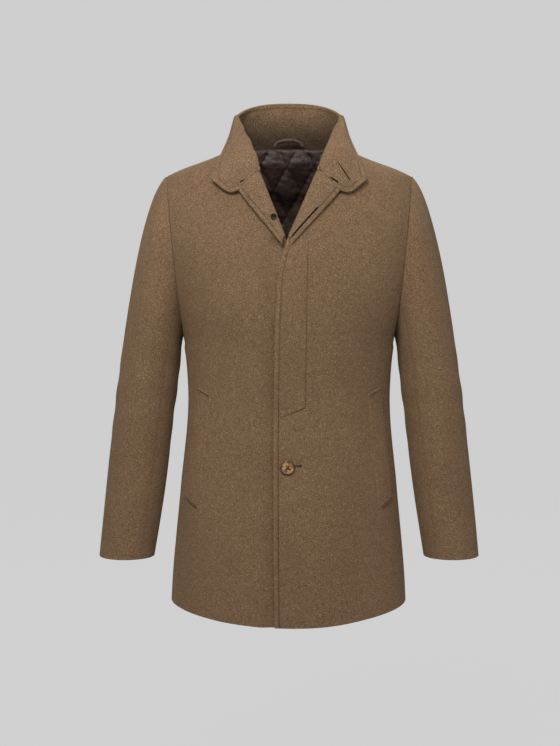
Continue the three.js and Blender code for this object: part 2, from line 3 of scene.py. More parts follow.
import bmesh
import bpy
import numpy as np
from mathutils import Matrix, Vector


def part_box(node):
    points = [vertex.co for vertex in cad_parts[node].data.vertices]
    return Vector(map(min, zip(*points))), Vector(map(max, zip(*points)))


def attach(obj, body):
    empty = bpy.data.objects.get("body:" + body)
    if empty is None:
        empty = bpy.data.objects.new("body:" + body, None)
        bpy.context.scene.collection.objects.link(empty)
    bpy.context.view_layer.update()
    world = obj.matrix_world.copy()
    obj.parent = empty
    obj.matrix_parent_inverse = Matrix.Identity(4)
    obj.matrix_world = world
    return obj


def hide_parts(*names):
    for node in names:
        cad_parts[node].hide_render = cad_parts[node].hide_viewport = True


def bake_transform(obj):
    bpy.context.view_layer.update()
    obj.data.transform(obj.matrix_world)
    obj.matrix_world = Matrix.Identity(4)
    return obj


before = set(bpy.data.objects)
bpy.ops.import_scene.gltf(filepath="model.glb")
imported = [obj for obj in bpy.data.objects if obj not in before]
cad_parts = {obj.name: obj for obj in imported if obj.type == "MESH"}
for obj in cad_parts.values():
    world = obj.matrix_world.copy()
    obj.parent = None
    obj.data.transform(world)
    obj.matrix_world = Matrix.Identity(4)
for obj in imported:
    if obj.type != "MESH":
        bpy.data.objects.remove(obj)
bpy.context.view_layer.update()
print("frame loaded")

# everything is in metres; the front faces -Y and the wearer's left is +X
body = {
    "hemZ": -0.819, "hemLift": 0.025, "shoulderZ": -0.040, "shoulderX": 0.216,
    "armpitZ": -0.322, "armpitX": 0.1875, "armholeHalf": 0.076, "squareness": 2.35,
    "seamShare": 0.967, "neckZ": -0.0015, "neckRise": 0.010, "underStep": 0.0070,
    "stepStart": -0.028, "stepEnd": -0.052, "woolThick": 0.0028,
    "seamTopShare": 0.83, "neckSeamZ": -0.038, "openingZ": -0.153,
}
armholeMid = (body["shoulderZ"] + body["armpitZ"]) / 2
armholeTall = (body["shoulderZ"] - body["armpitZ"]) / 2
seamTopZ = armholeMid - body["seamTopShare"] * armholeTall
sides = (("left", 1), ("right", -1))


# a smooth curve through (height, value) pairs given in millimetres and read in metres
def curveOf(pairs):
    at = np.array([p[0] for p in pairs]) / 1000
    value = np.array([p[1] for p in pairs]) / 1000
    slope = np.gradient(value, at)

    def read(z):
        z = np.clip(z, at[0], at[-1])
        i = np.clip(np.searchsorted(at, z) - 1, 0, len(at) - 2)
        span = at[i + 1] - at[i]
        t = (z - at[i]) / span
        early = (1 + 2 * t) * (1 - t) ** 2 * value[i] + t * (1 - t) ** 2 * span * slope[i]
        late = t * t * (3 - 2 * t) * value[i + 1] + t * t * (t - 1) * span * slope[i + 1]
        return early + late

    return read


sideWidth = curveOf([(-845, 210), (-720, 203), (-594, 191), (-411, 178), (-335, 185), (-322, 187.5)])
shoulderWidth = curveOf([(-40, 216), (-28, 190), (-12, 146), (0, 117)])
frontDepth = curveOf([(-845, 150), (-640, 139), (-430, 126), (-260, 136), (-150, 126), (-40, 96), (0, 75)])
backDepth = curveOf([(-845, 142), (-600, 124), (-430, 101), (-300, 112), (-170, 120), (-80, 108),
                     (-40, 94), (0, 75)])
sleeveOuter = curveOf([(-712, 337), (-550, 322), (-438, 310), (-350, 298)])
sleeveInner = curveOf([(-712, 240), (-595, 222), (-438, 203), (-350, 191)])
sleeveDepth = curveOf([(-712, 52), (-595, 59), (-438, 70), (-350, 77)])
sleevePitch = curveOf([(-712, -30), (-595, -16), (-438, -4), (-350, 0)])
frontEdge = curveOf([(-845, -25), (-640, -27), (-400, -26), (-260, -22), (-205, -18), (-172, -10),
                     (-153, -5)])
underEdge = curveOf([(-845, 25), (-240, 25), (-205, 20), (-172, 6), (-153, -5)])
leftRoll = curveOf([(-153, -5), (-96, 24), (-38, 46)])
rightRoll = curveOf([(-153, -5), (-96, -27), (-38, -50)])
neckLine = curveOf([(-38, 48), (-27, 60), (-16, 80), (-6, 100), (-1.5, 112)])


def smooth(start, end, value):
    t = np.clip((value - start) / (end - start), 0, 1)
    return t * t * (3 - 2 * t)


def rootOf(value):
    return np.maximum(value, 0) ** (1 / body["squareness"])


def armholeX(z):
    share = (z - body["armpitZ"]) / (body["shoulderZ"] - body["armpitZ"])
    return body["armpitX"] + (body["shoulderX"] - body["armpitX"]) * share


def armholeY(z):
    return body["armholeHalf"] * np.sqrt(np.maximum(0, 1 - ((z - armholeMid) / armholeTall) ** 2))


def halfWidth(z, deep):
    z = np.asarray(z, float)
    inside = armholeX(z) / rootOf(1 - (armholeY(z) / deep) ** body["squareness"])
    return np.where(z <= body["armpitZ"], sideWidth(z),
                    np.where(z >= body["shoulderZ"], shoulderWidth(z), inside))


# a point of the body: share runs from -1 to 1 across the width, facing is -1 in front and 1 behind
def bodyPoint(share, z, depth, facing):
    share, z, depth = np.broadcast_arrays(np.asarray(share, float), z, depth)
    deep = np.where(np.asarray(facing) < 0, frontDepth(z), backDepth(z))
    wide = halfWidth(z, deep)
    across = np.clip(share, -1, 1)
    forward = rootOf(1 - np.abs(across) ** body["squareness"])
    lift = body["hemLift"] * across ** 2 * smooth(-0.68, body["hemZ"], z)
    rise = np.where(np.asarray(facing) > 0, body["neckRise"] * forward ** 2 * smooth(-0.05, 0, z), 0)
    drop = depth * smooth(-0.09, body["shoulderZ"], z)
    return np.stack([across * (wide - depth), facing * forward * (deep - depth), z + lift + rise - drop], -1)


def turnOf(share):
    return np.arcsin(np.sign(share) * np.minimum(np.abs(share), 1) ** (body["squareness"] / 2))


def shareOf(turn):
    return np.sign(turn) * np.abs(np.sin(turn)) ** (2 / body["squareness"])


def shareAtX(x, z, facing):
    return x / halfWidth(z, frontDepth(z) if facing < 0 else backDepth(z))


# side seam, then armhole, then the shoulder ridge
def outerShare(z, facing):
    armhole = shareAtX(armholeX(z), z, facing)
    low = np.minimum(body["seamShare"], armhole)
    share = np.where(z < seamTopZ, body["seamShare"], np.where(z < armholeMid, low, armhole))
    return np.where(z >= body["shoulderZ"], 1.0, share)


def innerX(side, z):
    low = frontEdge(z) if side > 0 else underEdge(z)
    roll = leftRoll(z) if side > 0 else rightRoll(z)
    return np.where(z > body["neckSeamZ"], side * neckLine(z), np.where(z > body["openingZ"], roll, low))


def overlapDepth(side, x, z):
    if side > 0:
        return 0 * x
    return body["underStep"] * smooth(body["stepEnd"], body["stepStart"], x) * smooth(-0.14, -0.165, z)


edgeMarks = np.array([0, 0.12, 0.45, 1.0, 1.8, 2.8, 4.4, 6.4, 7.4, 8.0, 8.6, 9.8, 12]) / 1000
seamMarks = np.array([0, 0.15, 0.5, 1.1, 2.0, 3.4, 6.0]) / 1000


# distances along a line of length total, fine at both ends and even between
def spread(total, step, low, high):
    total = np.asarray(total, float)
    room = np.maximum(total - low[-1] - high[-1], 0.001)
    count = max(2, int(round(float(np.max(room)) / step)))
    middle = np.linspace(0, 1, count + 1)[1:-1]
    squeeze = np.minimum(1, total / (low[-1] + high[-1] + 0.001))[..., None]
    inside = low[-1] * squeeze + room[..., None] * middle
    return np.concatenate([low * squeeze, inside, total[..., None] - high[::-1] * squeeze], -1)


# the distance run along each row of points, and down each column
def runAcross(grid):
    steps = np.cumsum(np.linalg.norm(np.diff(grid, axis=1), axis=2), 1)
    return np.concatenate([np.zeros((len(grid), 1)), steps], 1)


def runDown(grid):
    steps = np.cumsum(np.linalg.norm(np.diff(grid, axis=0), axis=2), 0)
    return np.concatenate([np.zeros((1, grid.shape[1])), steps], 0)


# reads a fine line of points, rows by points by 3, at the wanted distances along it
def alongLine(points, distances):
    length = runAcross(points)
    out = np.empty(distances.shape + (3,))
    for row in range(len(points)):
        for axis in range(3):
            out[row, :, axis] = np.interp(distances[row], length[row], points[row, :, axis])
    return out


def lineLength(points):
    return np.linalg.norm(np.diff(points, axis=1), axis=2).sum(1)


def resample(rows, step, low, high):
    return alongLine(rows, spread(lineLength(rows), step, low, high))


def normalsOf(grid, ring=False):
    if ring:
        across = np.roll(grid, -1, 1) - np.roll(grid, 1, 1)
    else:
        across = np.gradient(grid, axis=1)
    along = np.gradient(grid, axis=0)
    n = np.cross(across, along)
    size = np.linalg.norm(n, axis=2, keepdims=True)
    return n / np.maximum(size, 1e-12)


def bell(distance, width):
    return np.exp(-(distance / width) ** 2)


# the distance of every grid point from the nearest cut edge, rows and columns apart
def edgeDistances(grid, ring=False):
    down = runDown(grid)
    rows = np.minimum(down, down[-1] - down)
    if ring:
        return rows, np.full(rows.shape, 1.0)
    over = runAcross(grid)
    return rows, np.minimum(over, over[:, -1:] - over)


# half thickness with a rounded edge
def rounded(distance, half):
    t = np.clip(distance / half, 0, 1)
    return half * np.sqrt(np.maximum(0, 1 - (1 - t) ** 2))


# slow folds of cloth that hangs: a few crossing swells with fixed phases
def drape(points, size, seed):
    draw = np.random.default_rng(seed)
    total = np.zeros(points.shape[:-1])
    for wave in (0.31, 0.19, 0.12, 0.075):
        for _ in range(3):
            lean = draw.normal(0, 0.45)
            way = np.array([math.cos(lean), 0.6 * draw.normal(), math.sin(lean) * 0.6])
            total += wave * np.sin(points @ way * 2 * math.pi / wave + draw.uniform(0, 6.28))
    return size * total / 0.9


# a closed piece of cloth from its middle surface and half thickness
def clothPiece(name, grid, half, material, ring=False, out=None, marks=None, cutRow=None,
               normal=None):
    normal = normalsOf(grid, ring) if normal is None else normal
    centre = grid.reshape(-1, 3).mean(0) if out is None else np.array(out)
    if np.mean(np.einsum("ijk,ijk->ij", normal, grid - centre)) < 0:
        normal = -normal
    rows, columns = grid.shape[:2]
    outer = (grid + normal * half[..., None]).reshape(-1, 3)
    inner = (grid - normal * half[..., None]).reshape(-1, 3)
    vertices = np.concatenate([outer, inner])
    column = np.arange(columns if ring else columns - 1)
    nextColumn = (column + 1) % columns
    row = np.arange(rows - 1)[:, None]
    a, b = (row * columns + column).ravel(), (row * columns + nextColumn).ravel()
    c, d = ((row + 1) * columns + nextColumn).ravel(), ((row + 1) * columns + column).ravel()
    quads = np.stack([a, b, c, d], 1)
    first = outer[quads[:, 1]] - outer[quads[:, 0]]
    second = outer[quads[:, 3]] - outer[quads[:, 0]]
    flat = normal.reshape(-1, 3)[quads[:, 0]]
    if np.sum(np.cross(first, second) * flat) < 0:
        quads = quads[:, ::-1]
    faces = np.concatenate([quads, quads[:, ::-1] + rows * columns])
    smoothCount = len(faces)
    if cutRow is not None:  # a flat end wall where the next piece carries on
        last = (cutRow % rows) * columns
        a, b = last + column, last + nextColumn
        faces = np.concatenate([faces, np.stack([a, b, b + rows * columns, a + rows * columns], 1)])
    mesh = bpy.data.meshes.new(name)
    mesh.from_pydata(vertices.tolist(), [], faces.tolist())
    for index, polygon in enumerate(mesh.polygons):
        polygon.use_smooth = index < smoothCount
    for label, values in (marks or {}).items():
        layer = mesh.attributes.new(label, "FLOAT", "POINT")
        faceValues = values if isinstance(values, tuple) else (values, values)
        layer.data.foreach_set("value", np.concatenate([v.ravel() for v in faceValues]).astype(np.float32))
    shape = bmesh.new()
    shape.from_mesh(mesh)
    bmesh.ops.remove_doubles(shape, verts=shape.verts, dist=2e-6)
    bmesh.ops.dissolve_degenerate(shape, dist=1e-6, edges=shape.edges)
    bmesh.ops.recalc_face_normals(shape, faces=shape.faces)
    shape.to_mesh(mesh)
    shape.free()
    if cutRow is not None:
        mesh.set_sharp_from_angle(angle=1.1)
    mesh.materials.append(material)
    piece = bpy.data.objects.new(name, mesh)
    bpy.context.scene.collection.objects.link(piece)
    return piece


# half thickness and the two marks that the wool finish reads, with grooves along stitched lines: painted shade
# in the grooves, and wear at the cut edges
def clothSection(grid, half, grooves=()):
    rowGap, columnGap = edgeDistances(grid)
    thick = np.minimum(rounded(rowGap, half), rounded(columnGap, half))
    stitch = np.zeros(thick.shape)
    for mask in grooves:
        stitch = np.maximum(stitch, mask)
    return thick, {"paintedSeamShade": stitch, "edgeWear": worn(np.minimum(rowGap, columnGap))}


# how worn the cloth is at a distance from its edge
def worn(distance, width=0.0035):
    return 1 - np.clip(distance / width, 0, 1)


# one sheet sewn to the body of the coat, in place of its pattern piece
def sewSheet(name, node, grid, half, look, grooves=(), out=(0, 0, -0.3)):
    thick, marks = clothSection(grid, half, grooves)
    piece = clothPiece(name, grid, thick, finish[look], out=out, marks=marks)
    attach(piece, "torso")
    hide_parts(node)


# a small helper that places a node and fills its inputs, either with values or with links
def addNode(tree, kind, inputs=None, **settings):
    node = tree.nodes.new(kind)
    for key, value in settings.items():
        setattr(node, key, value)
    for key, value in (inputs or {}).items():
        if isinstance(value, bpy.types.NodeSocket):
            tree.links.new(value, node.inputs[key])
        else:
            node.inputs[key].default_value = value
    return node


def newGroup(name, inputs, outputs):
    group = bpy.data.node_groups.new(name, "ShaderNodeTree")
    for label, kind, value in inputs:
        socket = group.interface.new_socket(name=label, in_out="INPUT", socket_type="NodeSocket" + kind)
        socket.default_value = value
    for label, kind in outputs:
        group.interface.new_socket(name=label, in_out="OUTPUT", socket_type="NodeSocket" + kind)
    return group, group.nodes.new("NodeGroupInput"), group.nodes.new("NodeGroupOutput")


def mathNode(tree, operation, a, b=0.5):
    return addNode(tree, "ShaderNodeMath", {0: a, 1: b}, operation=operation).outputs[0]


def noiseNode(tree, vector, scale, detail=2.0, rough=0.5):
    inputs = {"Vector": vector, "Scale": scale, "Detail": detail, "Roughness": rough}
    return addNode(tree, "ShaderNodeTexNoise", inputs).outputs["Fac"]


def mixColor(tree, factor, a, b, blend="MIX"):
    node = addNode(tree, "ShaderNodeMix", {0: factor}, data_type="RGBA", blend_type=blend)
    for socket, value in ((node.inputs[6], a), (node.inputs[7], b)):
        if isinstance(value, bpy.types.NodeSocket):
            tree.links.new(value, socket)
        else:
            socket.default_value = value
    return node.outputs[2]


def span(tree, value, low, high, toLow=0.0, toHigh=1.0):
    inputs = {"Value": value, "From Min": low, "From Max": high, "To Min": toLow, "To Max": toHigh}
    return addNode(tree, "ShaderNodeMapRange", inputs).outputs[0]


def rgb(red, green, blue):
    linear = [((c / 255 + 0.055) / 1.055) ** 2.4 if c > 10 else c / 255 / 12.92 for c in (red, green, blue)]
    return (*linear, 1.0)


# heather wool: fine diagonal twill, mixed light and dark fibres, soft felted blotches
def makeHeatherGroup():
    group, start, end = newGroup(
        "heatherTwill",
        [("Vector", "Vector", (0, 0, 0)), ("Ground", "Color", (0.2, 0.15, 0.1, 1)),
         ("Light Fibres", "Color", (0.4, 0.3, 0.2, 1)), ("Dark Fibres", "Color", (0.05, 0.03, 0.02, 1)),
         ("Twill Width", "Float", 620.0), ("Edge", "Float", 0.0), ("Stitch", "Float", 0.0),
         ("Painted Shade", "Float", 0.0)],
        [("Color", "Color"), ("Height", "Float"), ("Roughness", "Float")])
    place = start.outputs["Vector"]
    wobble = addNode(group, "ShaderNodeTexNoise", {"Vector": place, "Scale": 260.0, "Detail": 2.0})
    shift = addNode(group, "ShaderNodeVectorMath", {0: wobble.outputs["Color"], 3: 0.0022}, operation="SCALE")
    bent = addNode(group, "ShaderNodeVectorMath", {0: place, 1: shift.outputs[0]}, operation="ADD").outputs[0]
    slanted = addNode(group, "ShaderNodeMapping", {"Vector": bent, "Rotation": (0.0, 0.9, 0.0)}).outputs[0]
    ribs = addNode(group, "ShaderNodeTexWave", {"Vector": slanted, "Scale": start.outputs["Twill Width"],
                                                "Distortion": 1.2, "Detail": 1.0}, bands_direction="X")
    stretched = addNode(group, "ShaderNodeMapping", {"Vector": slanted, "Scale": (1.0, 1.0, 0.35)}).outputs[0]
    fibres = noiseNode(group, stretched, 2200.0, 2.0, 0.6)
    flecks = noiseNode(group, bent, 640.0, 3.0, 0.62)
    felted = noiseNode(group, place, 150.0, 3.0, 0.55)
    broad = noiseNode(group, place, 9.0, 2.0, 0.5)
    light = span(group, flecks, 0.50, 0.68)
    dark = span(group, flecks, 0.49, 0.33)
    fineLight = span(group, fibres, 0.55, 0.75, 0.0, 0.5)
    color = mixColor(group, light, start.outputs["Ground"], start.outputs["Light Fibres"])
    color = mixColor(group, mathNode(group, "MULTIPLY", dark, 0.75), color, start.outputs["Dark Fibres"])
    color = mixColor(group, fineLight, color, start.outputs["Light Fibres"])
    ribShade = span(group, ribs.outputs["Fac"], 0.0, 0.6, 0.80, 1.05)
    feltShade = span(group, felted, 0.3, 0.7, 0.93, 1.07)
    broadShade = span(group, broad, 0.3, 0.7, 0.94, 1.06)
    # painted shade along the sunken seams and stitch lines, down to 55% of the colour
    stitchShade = span(group, start.outputs["Stitch"], 0.0, 1.0, 1.0, 0.55)
    edgeShade = span(group, start.outputs["Edge"], 0.0, 1.0, 1.0, 1.16)
    shade = mathNode(group, "MULTIPLY", ribShade, feltShade)
    # painted shade: where the mark is full, the collar's inner face drops to a fifth of its colour
    innerShade = span(group, start.outputs["Painted Shade"], 0.0, 1.0, 1.0, 0.2)
    for other in (broadShade, stitchShade, edgeShade, innerShade):
        shade = mathNode(group, "MULTIPLY", shade, other)
    grey = addNode(group, "ShaderNodeCombineColor", {0: shade, 1: shade, 2: shade}).outputs[0]
    color = mixColor(group, 1.0, color, grey, "MULTIPLY")
    height = mathNode(group, "MULTIPLY", ribs.outputs["Fac"], 0.55)
    height = mathNode(group, "ADD", height, mathNode(group, "MULTIPLY", fibres, 0.8))
    height = mathNode(group, "ADD", height, mathNode(group, "MULTIPLY", flecks, 0.9))
    group.links.new(color, end.inputs["Color"])
    group.links.new(height, end.inputs["Height"])
    group.links.new(span(group, fibres, 0.3, 0.7, 0.86, 1.0), end.inputs["Roughness"])
    return group


# satin: close crosswise threads with a slow cloudy change in tone
def makeSatinGroup():
    group, start, end = newGroup(
        "satinWeave",
        [("Vector", "Vector", (0, 0, 0)), ("Ground", "Color", (0.02, 0.015, 0.012, 1)),
         ("Bloom", "Color", (0.06, 0.045, 0.035, 1)), ("Thread Scale", "Float", 1400.0),
         ("Stitch", "Float", 0.0)],
        [("Color", "Color"), ("Height", "Float"), ("Roughness", "Float")])
    place = start.outputs["Vector"]
    threads = addNode(group, "ShaderNodeTexWave", {"Vector": place, "Scale": start.outputs["Thread Scale"],
                                                   "Distortion": 0.6}, bands_direction="Z")
    cloud = noiseNode(group, place, 30.0, 3.0, 0.55)
    fine = noiseNode(group, place, 700.0, 2.0, 0.6)
    worn = mathNode(group, "MULTIPLY", span(group, cloud, 0.35, 0.7), 0.6)
    color = mixColor(group, worn, start.outputs["Ground"], start.outputs["Bloom"])
    color = mixColor(group, span(group, fine, 0.5, 0.8, 0.0, 0.35), color, start.outputs["Bloom"])
    # painted shade: the quilting seams are darkened nearly to black
    sewn = mathNode(group, "MULTIPLY", start.outputs["Stitch"], 0.8)
    color = mixColor(group, sewn, color, (0.002, 0.0015, 0.001, 1))
    height = mathNode(group, "ADD", mathNode(group, "MULTIPLY", threads.outputs["Fac"], 0.06),
                      mathNode(group, "MULTIPLY", fine, 0.12))
    crumple = noiseNode(group, place, 70.0, 2.0, 0.5)
    height = mathNode(group, "ADD", height, mathNode(group, "MULTIPLY", crumple, 5.0))
    group.links.new(color, end.inputs["Color"])
    group.links.new(height, end.inputs["Height"])
    group.links.new(span(group, cloud, 0.3, 0.7, 0.46, 0.58), end.inputs["Roughness"])
    return group


# horn: cloudy bands that run through the button, dark at the rim
def makeHornGroup():
    group, start, end = newGroup(
        "hornCloud",
        [("Vector", "Vector", (0, 0, 0)), ("Pale", "Color", (0.5, 0.3, 0.1, 1)),
         ("Dark", "Color", (0.05, 0.02, 0.01, 1)), ("Rim", "Float", 0.0)],
        [("Color", "Color"), ("Height", "Float"), ("Roughness", "Float")])
    place = start.outputs["Vector"]
    cloud = noiseNode(group, place, 130.0, 4.0, 0.6)
    streaks = addNode(group, "ShaderNodeTexWave", {"Vector": place, "Scale": 60.0, "Distortion": 9.0,
                                                   "Detail": 3.0}, bands_direction="DIAGONAL")
    fine = noiseNode(group, place, 900.0, 2.0, 0.5)
    darkness = mathNode(group, "MULTIPLY", span(group, cloud, 0.42, 0.60), 0.8)
    color = mixColor(group, darkness, start.outputs["Pale"], start.outputs["Dark"])
    veins = span(group, streaks.outputs["Fac"], 0.7, 1.0, 0.0, 0.35)
    color = mixColor(group, veins, color, start.outputs["Dark"])
    color = mixColor(group, start.outputs["Rim"], color, start.outputs["Dark"])
    group.links.new(color, end.inputs["Color"])
    group.links.new(mathNode(group, "ADD", mathNode(group, "MULTIPLY", streaks.outputs["Fac"], 0.4), fine),
                    end.inputs["Height"])
    group.links.new(span(group, fine, 0.3, 0.7, 0.22, 0.38), end.inputs["Roughness"])
    return group


# plain coarse cloth: two crossing sets of threads
def makePlainWeaveGroup():
    group, start, end = newGroup(
        "plainWeave",
        [("Vector", "Vector", (0, 0, 0)), ("Ground", "Color", (0.4, 0.35, 0.3, 1)),
         ("Shadow", "Color", (0.1, 0.1, 0.1, 1)), ("Thread Scale", "Float", 500.0)],
        [("Color", "Color"), ("Height", "Float"), ("Roughness", "Float")])
    place = start.outputs["Vector"]
    warp = addNode(group, "ShaderNodeTexWave", {"Vector": place, "Scale": start.outputs["Thread Scale"],
                                                "Distortion": 1.0}, bands_direction="X").outputs["Fac"]
    weft = addNode(group, "ShaderNodeTexWave", {"Vector": place, "Scale": start.outputs["Thread Scale"],
                                                "Distortion": 1.0}, bands_direction="Z").outputs["Fac"]
    cloud = noiseNode(group, place, 60.0, 3.0, 0.6)
    both = mathNode(group, "MULTIPLY", warp, weft)
    color = mixColor(group, span(group, both, 0.05, 0.6), start.outputs["Shadow"], start.outputs["Ground"])
    color = mixColor(group, span(group, cloud, 0.4, 0.7, 0.0, 0.3), color, start.outputs["Shadow"])
    group.links.new(color, end.inputs["Color"])
    group.links.new(both, end.inputs["Height"])
    group.links.new(span(group, cloud, 0.3, 0.7, 0.8, 1.0), end.inputs["Roughness"])
    return group


groups = {"heather": makeHeatherGroup(), "satin": makeSatinGroup(), "horn": makeHornGroup(),
          "weave": makePlainWeaveGroup()}


# builds one finish: its own Principled shader with a group feeding colour, roughness and bump
def makeFinish(name, groupName, colors, bumpStrength, bumpDistance, shader, marks=None):
    material = bpy.data.materials.new(name)
    material.use_nodes = True
    tree = material.node_tree
    principled = tree.nodes["Principled BSDF"]
    place = addNode(tree, "ShaderNodeTexCoord").outputs["Object"]
    look = addNode(tree, "ShaderNodeGroup", node_tree=groups[groupName])
    tree.links.new(place, look.inputs["Vector"])
    for key, value in colors.items():
        look.inputs[key].default_value = value
    for socket, attribute in (marks or {}).items():
        mark = addNode(tree, "ShaderNodeAttribute", attribute_name=attribute)
        tree.links.new(mark.outputs["Fac"], look.inputs[socket])
    bump = addNode(tree, "ShaderNodeBump", {"Strength": bumpStrength, "Distance": bumpDistance,
                                            "Height": look.outputs["Height"]})
    tree.links.new(look.outputs["Color"], principled.inputs["Base Color"])
    tree.links.new(look.outputs["Roughness"], principled.inputs["Roughness"])
    tree.links.new(bump.outputs["Normal"], principled.inputs["Normal"])
    for key, value in shader.items():
        principled.inputs[key].default_value = value
    return material


woolShader = {"Sheen Weight": 0.30, "Sheen Roughness": 0.55, "Sheen Tint": rgb(196, 170, 140),
              "Specular IOR Level": 0.18}
# the wool finish reads painted seam shade and edge wear from the mesh
woolMarks = {"Edge": "edgeWear", "Stitch": "paintedSeamShade"}
# the collar also reads its painted inner shade from the mesh
collarMarks = {**woolMarks, "Painted Shade": "paintedInnerShade"}


def woolColors(ground, light, dark, **more):
    return {"Ground": rgb(*ground), "Light Fibres": rgb(*light), "Dark Fibres": rgb(*dark), **more}


def weaveColors(ground, shadow, threads):
    return {"Ground": rgb(*ground), "Shadow": rgb(*shadow), "Thread Scale": threads}


def hornColors(pale, dark):
    return {"Pale": rgb(*pale), "Dark": rgb(*dark)}


coatColors = woolColors((121, 94, 68), (168, 139, 108), (68, 48, 32))
collarColors = woolColors((125, 98, 72), (176, 147, 116), (70, 50, 34), **{"Twill Width": 560.0})
facingColors = woolColors((112, 89, 66), (160, 136, 108), (54, 39, 26))
feltColors = woolColors((138, 132, 126), (180, 176, 170), (92, 88, 84))
satinColors = {"Ground": rgb(44, 30, 25), "Bloom": rgb(88, 66, 57)}
finish = {
    "wool": makeFinish("heatherWool", "heather", coatColors, 0.55, 0.0006, woolShader, woolMarks),
    "collarWool": makeFinish("heatherWoolCollar", "heather", collarColors, 0.6, 0.0007, woolShader,
                             collarMarks),
    "facingWool": makeFinish("heatherWoolFacing", "heather", facingColors, 0.5, 0.0005, woolShader,
                             woolMarks),
    "satin": makeFinish("quiltedSatin", "satin", satinColors, 0.6, 0.0012,
                        {"Sheen Weight": 0.0, "Specular IOR Level": 0.5}, {"Stitch": "paintedSeamShade"}),
    "horn": makeFinish("hornButton", "horn", hornColors((196, 152, 92), (46, 25, 13)), 0.1, 0.0003,
                       {"Coat Weight": 0.5, "Coat Roughness": 0.12}, {"Rim": "rimShade"}),
    "darkHorn": makeFinish("darkHorn", "horn", hornColors((40, 27, 18), (14, 9, 6)), 0.1, 0.0003,
                           {"Coat Weight": 0.05, "Specular IOR Level": 0.3}),
    # painted shadow: a near-black cloth for dark rods laid in slits and seams
    "shade": makeFinish("paintedSlitShadow", "weave", weaveColors((30, 21, 15), (14, 10, 7), 1800.0), 0.3, 0.0002,
                        {"Specular IOR Level": 0.1}),
    "thread": makeFinish("sewingThread", "weave", weaveColors((92, 70, 50), (48, 34, 22), 1800.0), 0.4,
                         0.0002, {"Sheen Weight": 0.2}),
    "canvas": makeFinish("hairCanvas", "weave", weaveColors((196, 184, 158), (120, 108, 88), 420.0), 0.6,
                         0.0005, {"Sheen Weight": 0.1}),
    "felt": makeFinish("padFelt", "heather", feltColors, 0.6, 0.0008, {"Sheen Weight": 0.3}),
}
print("finishes made")


# how far the hanging cloth swells out from the pattern shape; still at the neck and round the armholes
draping = {"size": 0.0022, "lift": 0.0011, "seed": 11, "most": 0.0036, "least": -0.0005,
           "buttonX": -0.003, "buttonZ": -0.542, "buttonPull": 0.034}


def swell(share, z, facing):
    base = bodyPoint(share, z, 0, facing)
    out = draping["lift"] + drape(base * np.array([1, 1, 0.28]), draping["size"], draping["seed"])
    out = np.clip(out, draping["least"], draping["most"])
    beside = smooth(armholeX(z) - 0.045, armholeX(z) - 0.006, np.abs(base[..., 0]))
    near = 1 - beside * (z > body["armpitZ"] - 0.02)
    fromButton = np.hypot(base[..., 0] - draping["buttonX"], base[..., 2] - draping["buttonZ"])
    free = 1 - bell(fromButton, draping["buttonPull"]) * (base[..., 1] < 0)
    return out * near * free * (1 - smooth(-0.16, -0.05, z))


def coatPoint(share, z, depth, facing, loose=1.0):
    share, z = np.broadcast_arrays(share, z)
    return bodyPoint(share, z, depth - loose * swell(share, z, facing), facing)


def rowHeights(low, high, step, lowMarks=edgeMarks, highMarks=edgeMarks, knee=-0.052, fineStep=0.0016):
    if high <= knee:
        return low + spread(high - low, step, lowMarks, highMarks)
    first = low + spread(knee - low, step, lowMarks, np.array([0.0]))
    second = knee + spread(high - knee, fineStep, np.array([0.0]), highMarks)
    return np.concatenate([first[:-1], second])


# rows of points across a front, between two borders in x
def frontRows(side, fromX, toX, z, depth, count=150, loose=1.0):
    z = np.asarray(z)[:, None]
    turns = [turnOf(shareAtX(np.asarray(edge).reshape(-1, 1) + 0 * z, z, -1)) for edge in (fromX, toX)]
    share = shareOf(turns[0] + (turns[1] - turns[0]) * np.linspace(0, 1, count))
    x = share * halfWidth(z, frontDepth(z))
    return coatPoint(share, z, depth + overlapDepth(side, x, z), -1, loose)


def outerX(side, z, inset):
    border = outerShare(z, -1) * halfWidth(z, frontDepth(z))
    return side * (border - np.where(z < body["shoulderZ"], inset, 0))


# moves a surface of the body inwards, towards the middle of the coat
def sink(grid, amount):
    normal = normalsOf(grid)
    if np.mean(np.einsum("ijk,ijk->ij", normal, grid - np.array([0, 0, -0.3]))) < 0:
        normal = -normal
    return grid - normal * amount[..., None]


flyX = curveOf([(-819, 27), (-440, 27.5), (-300, 29), (-145, 31.5)])


# distance in the front view from a straight line between two (x, z) places
def fromLine(grid, first, last):
    first, last = np.array(first), np.array(last)
    flat = grid[..., [0, 2]] - first
    share = np.clip(flat @ (last - first) / np.sum((last - first) ** 2), 0, 1)
    return np.linalg.norm(flat - share[..., None] * (last - first), axis=-1)


seamWidth = 0.0009
frontPanel = {"inset": 0.0004, "step": 0.0052, "rowStep": 0.0062, "edgeStitch": 0.0080, "flyBottom": -0.4395,
              "grooveDepth": 0.0007, "hemRidge": 0.042, "hemShare": 0.35, "neckRun": 0.016, "flyPly": 0.0006,
              "flySeam": 0.0010, "flyCorner": ((0.0275, -0.4395), (-0.0148, -0.4565)), "flat": (0.30, 0.88)}


# a soft ridge along the top of the turned-up hem
def hemRidge(grid):
    return bell(grid[..., 2] - body["hemZ"] - frontPanel["hemRidge"], 0.003) * 0.5


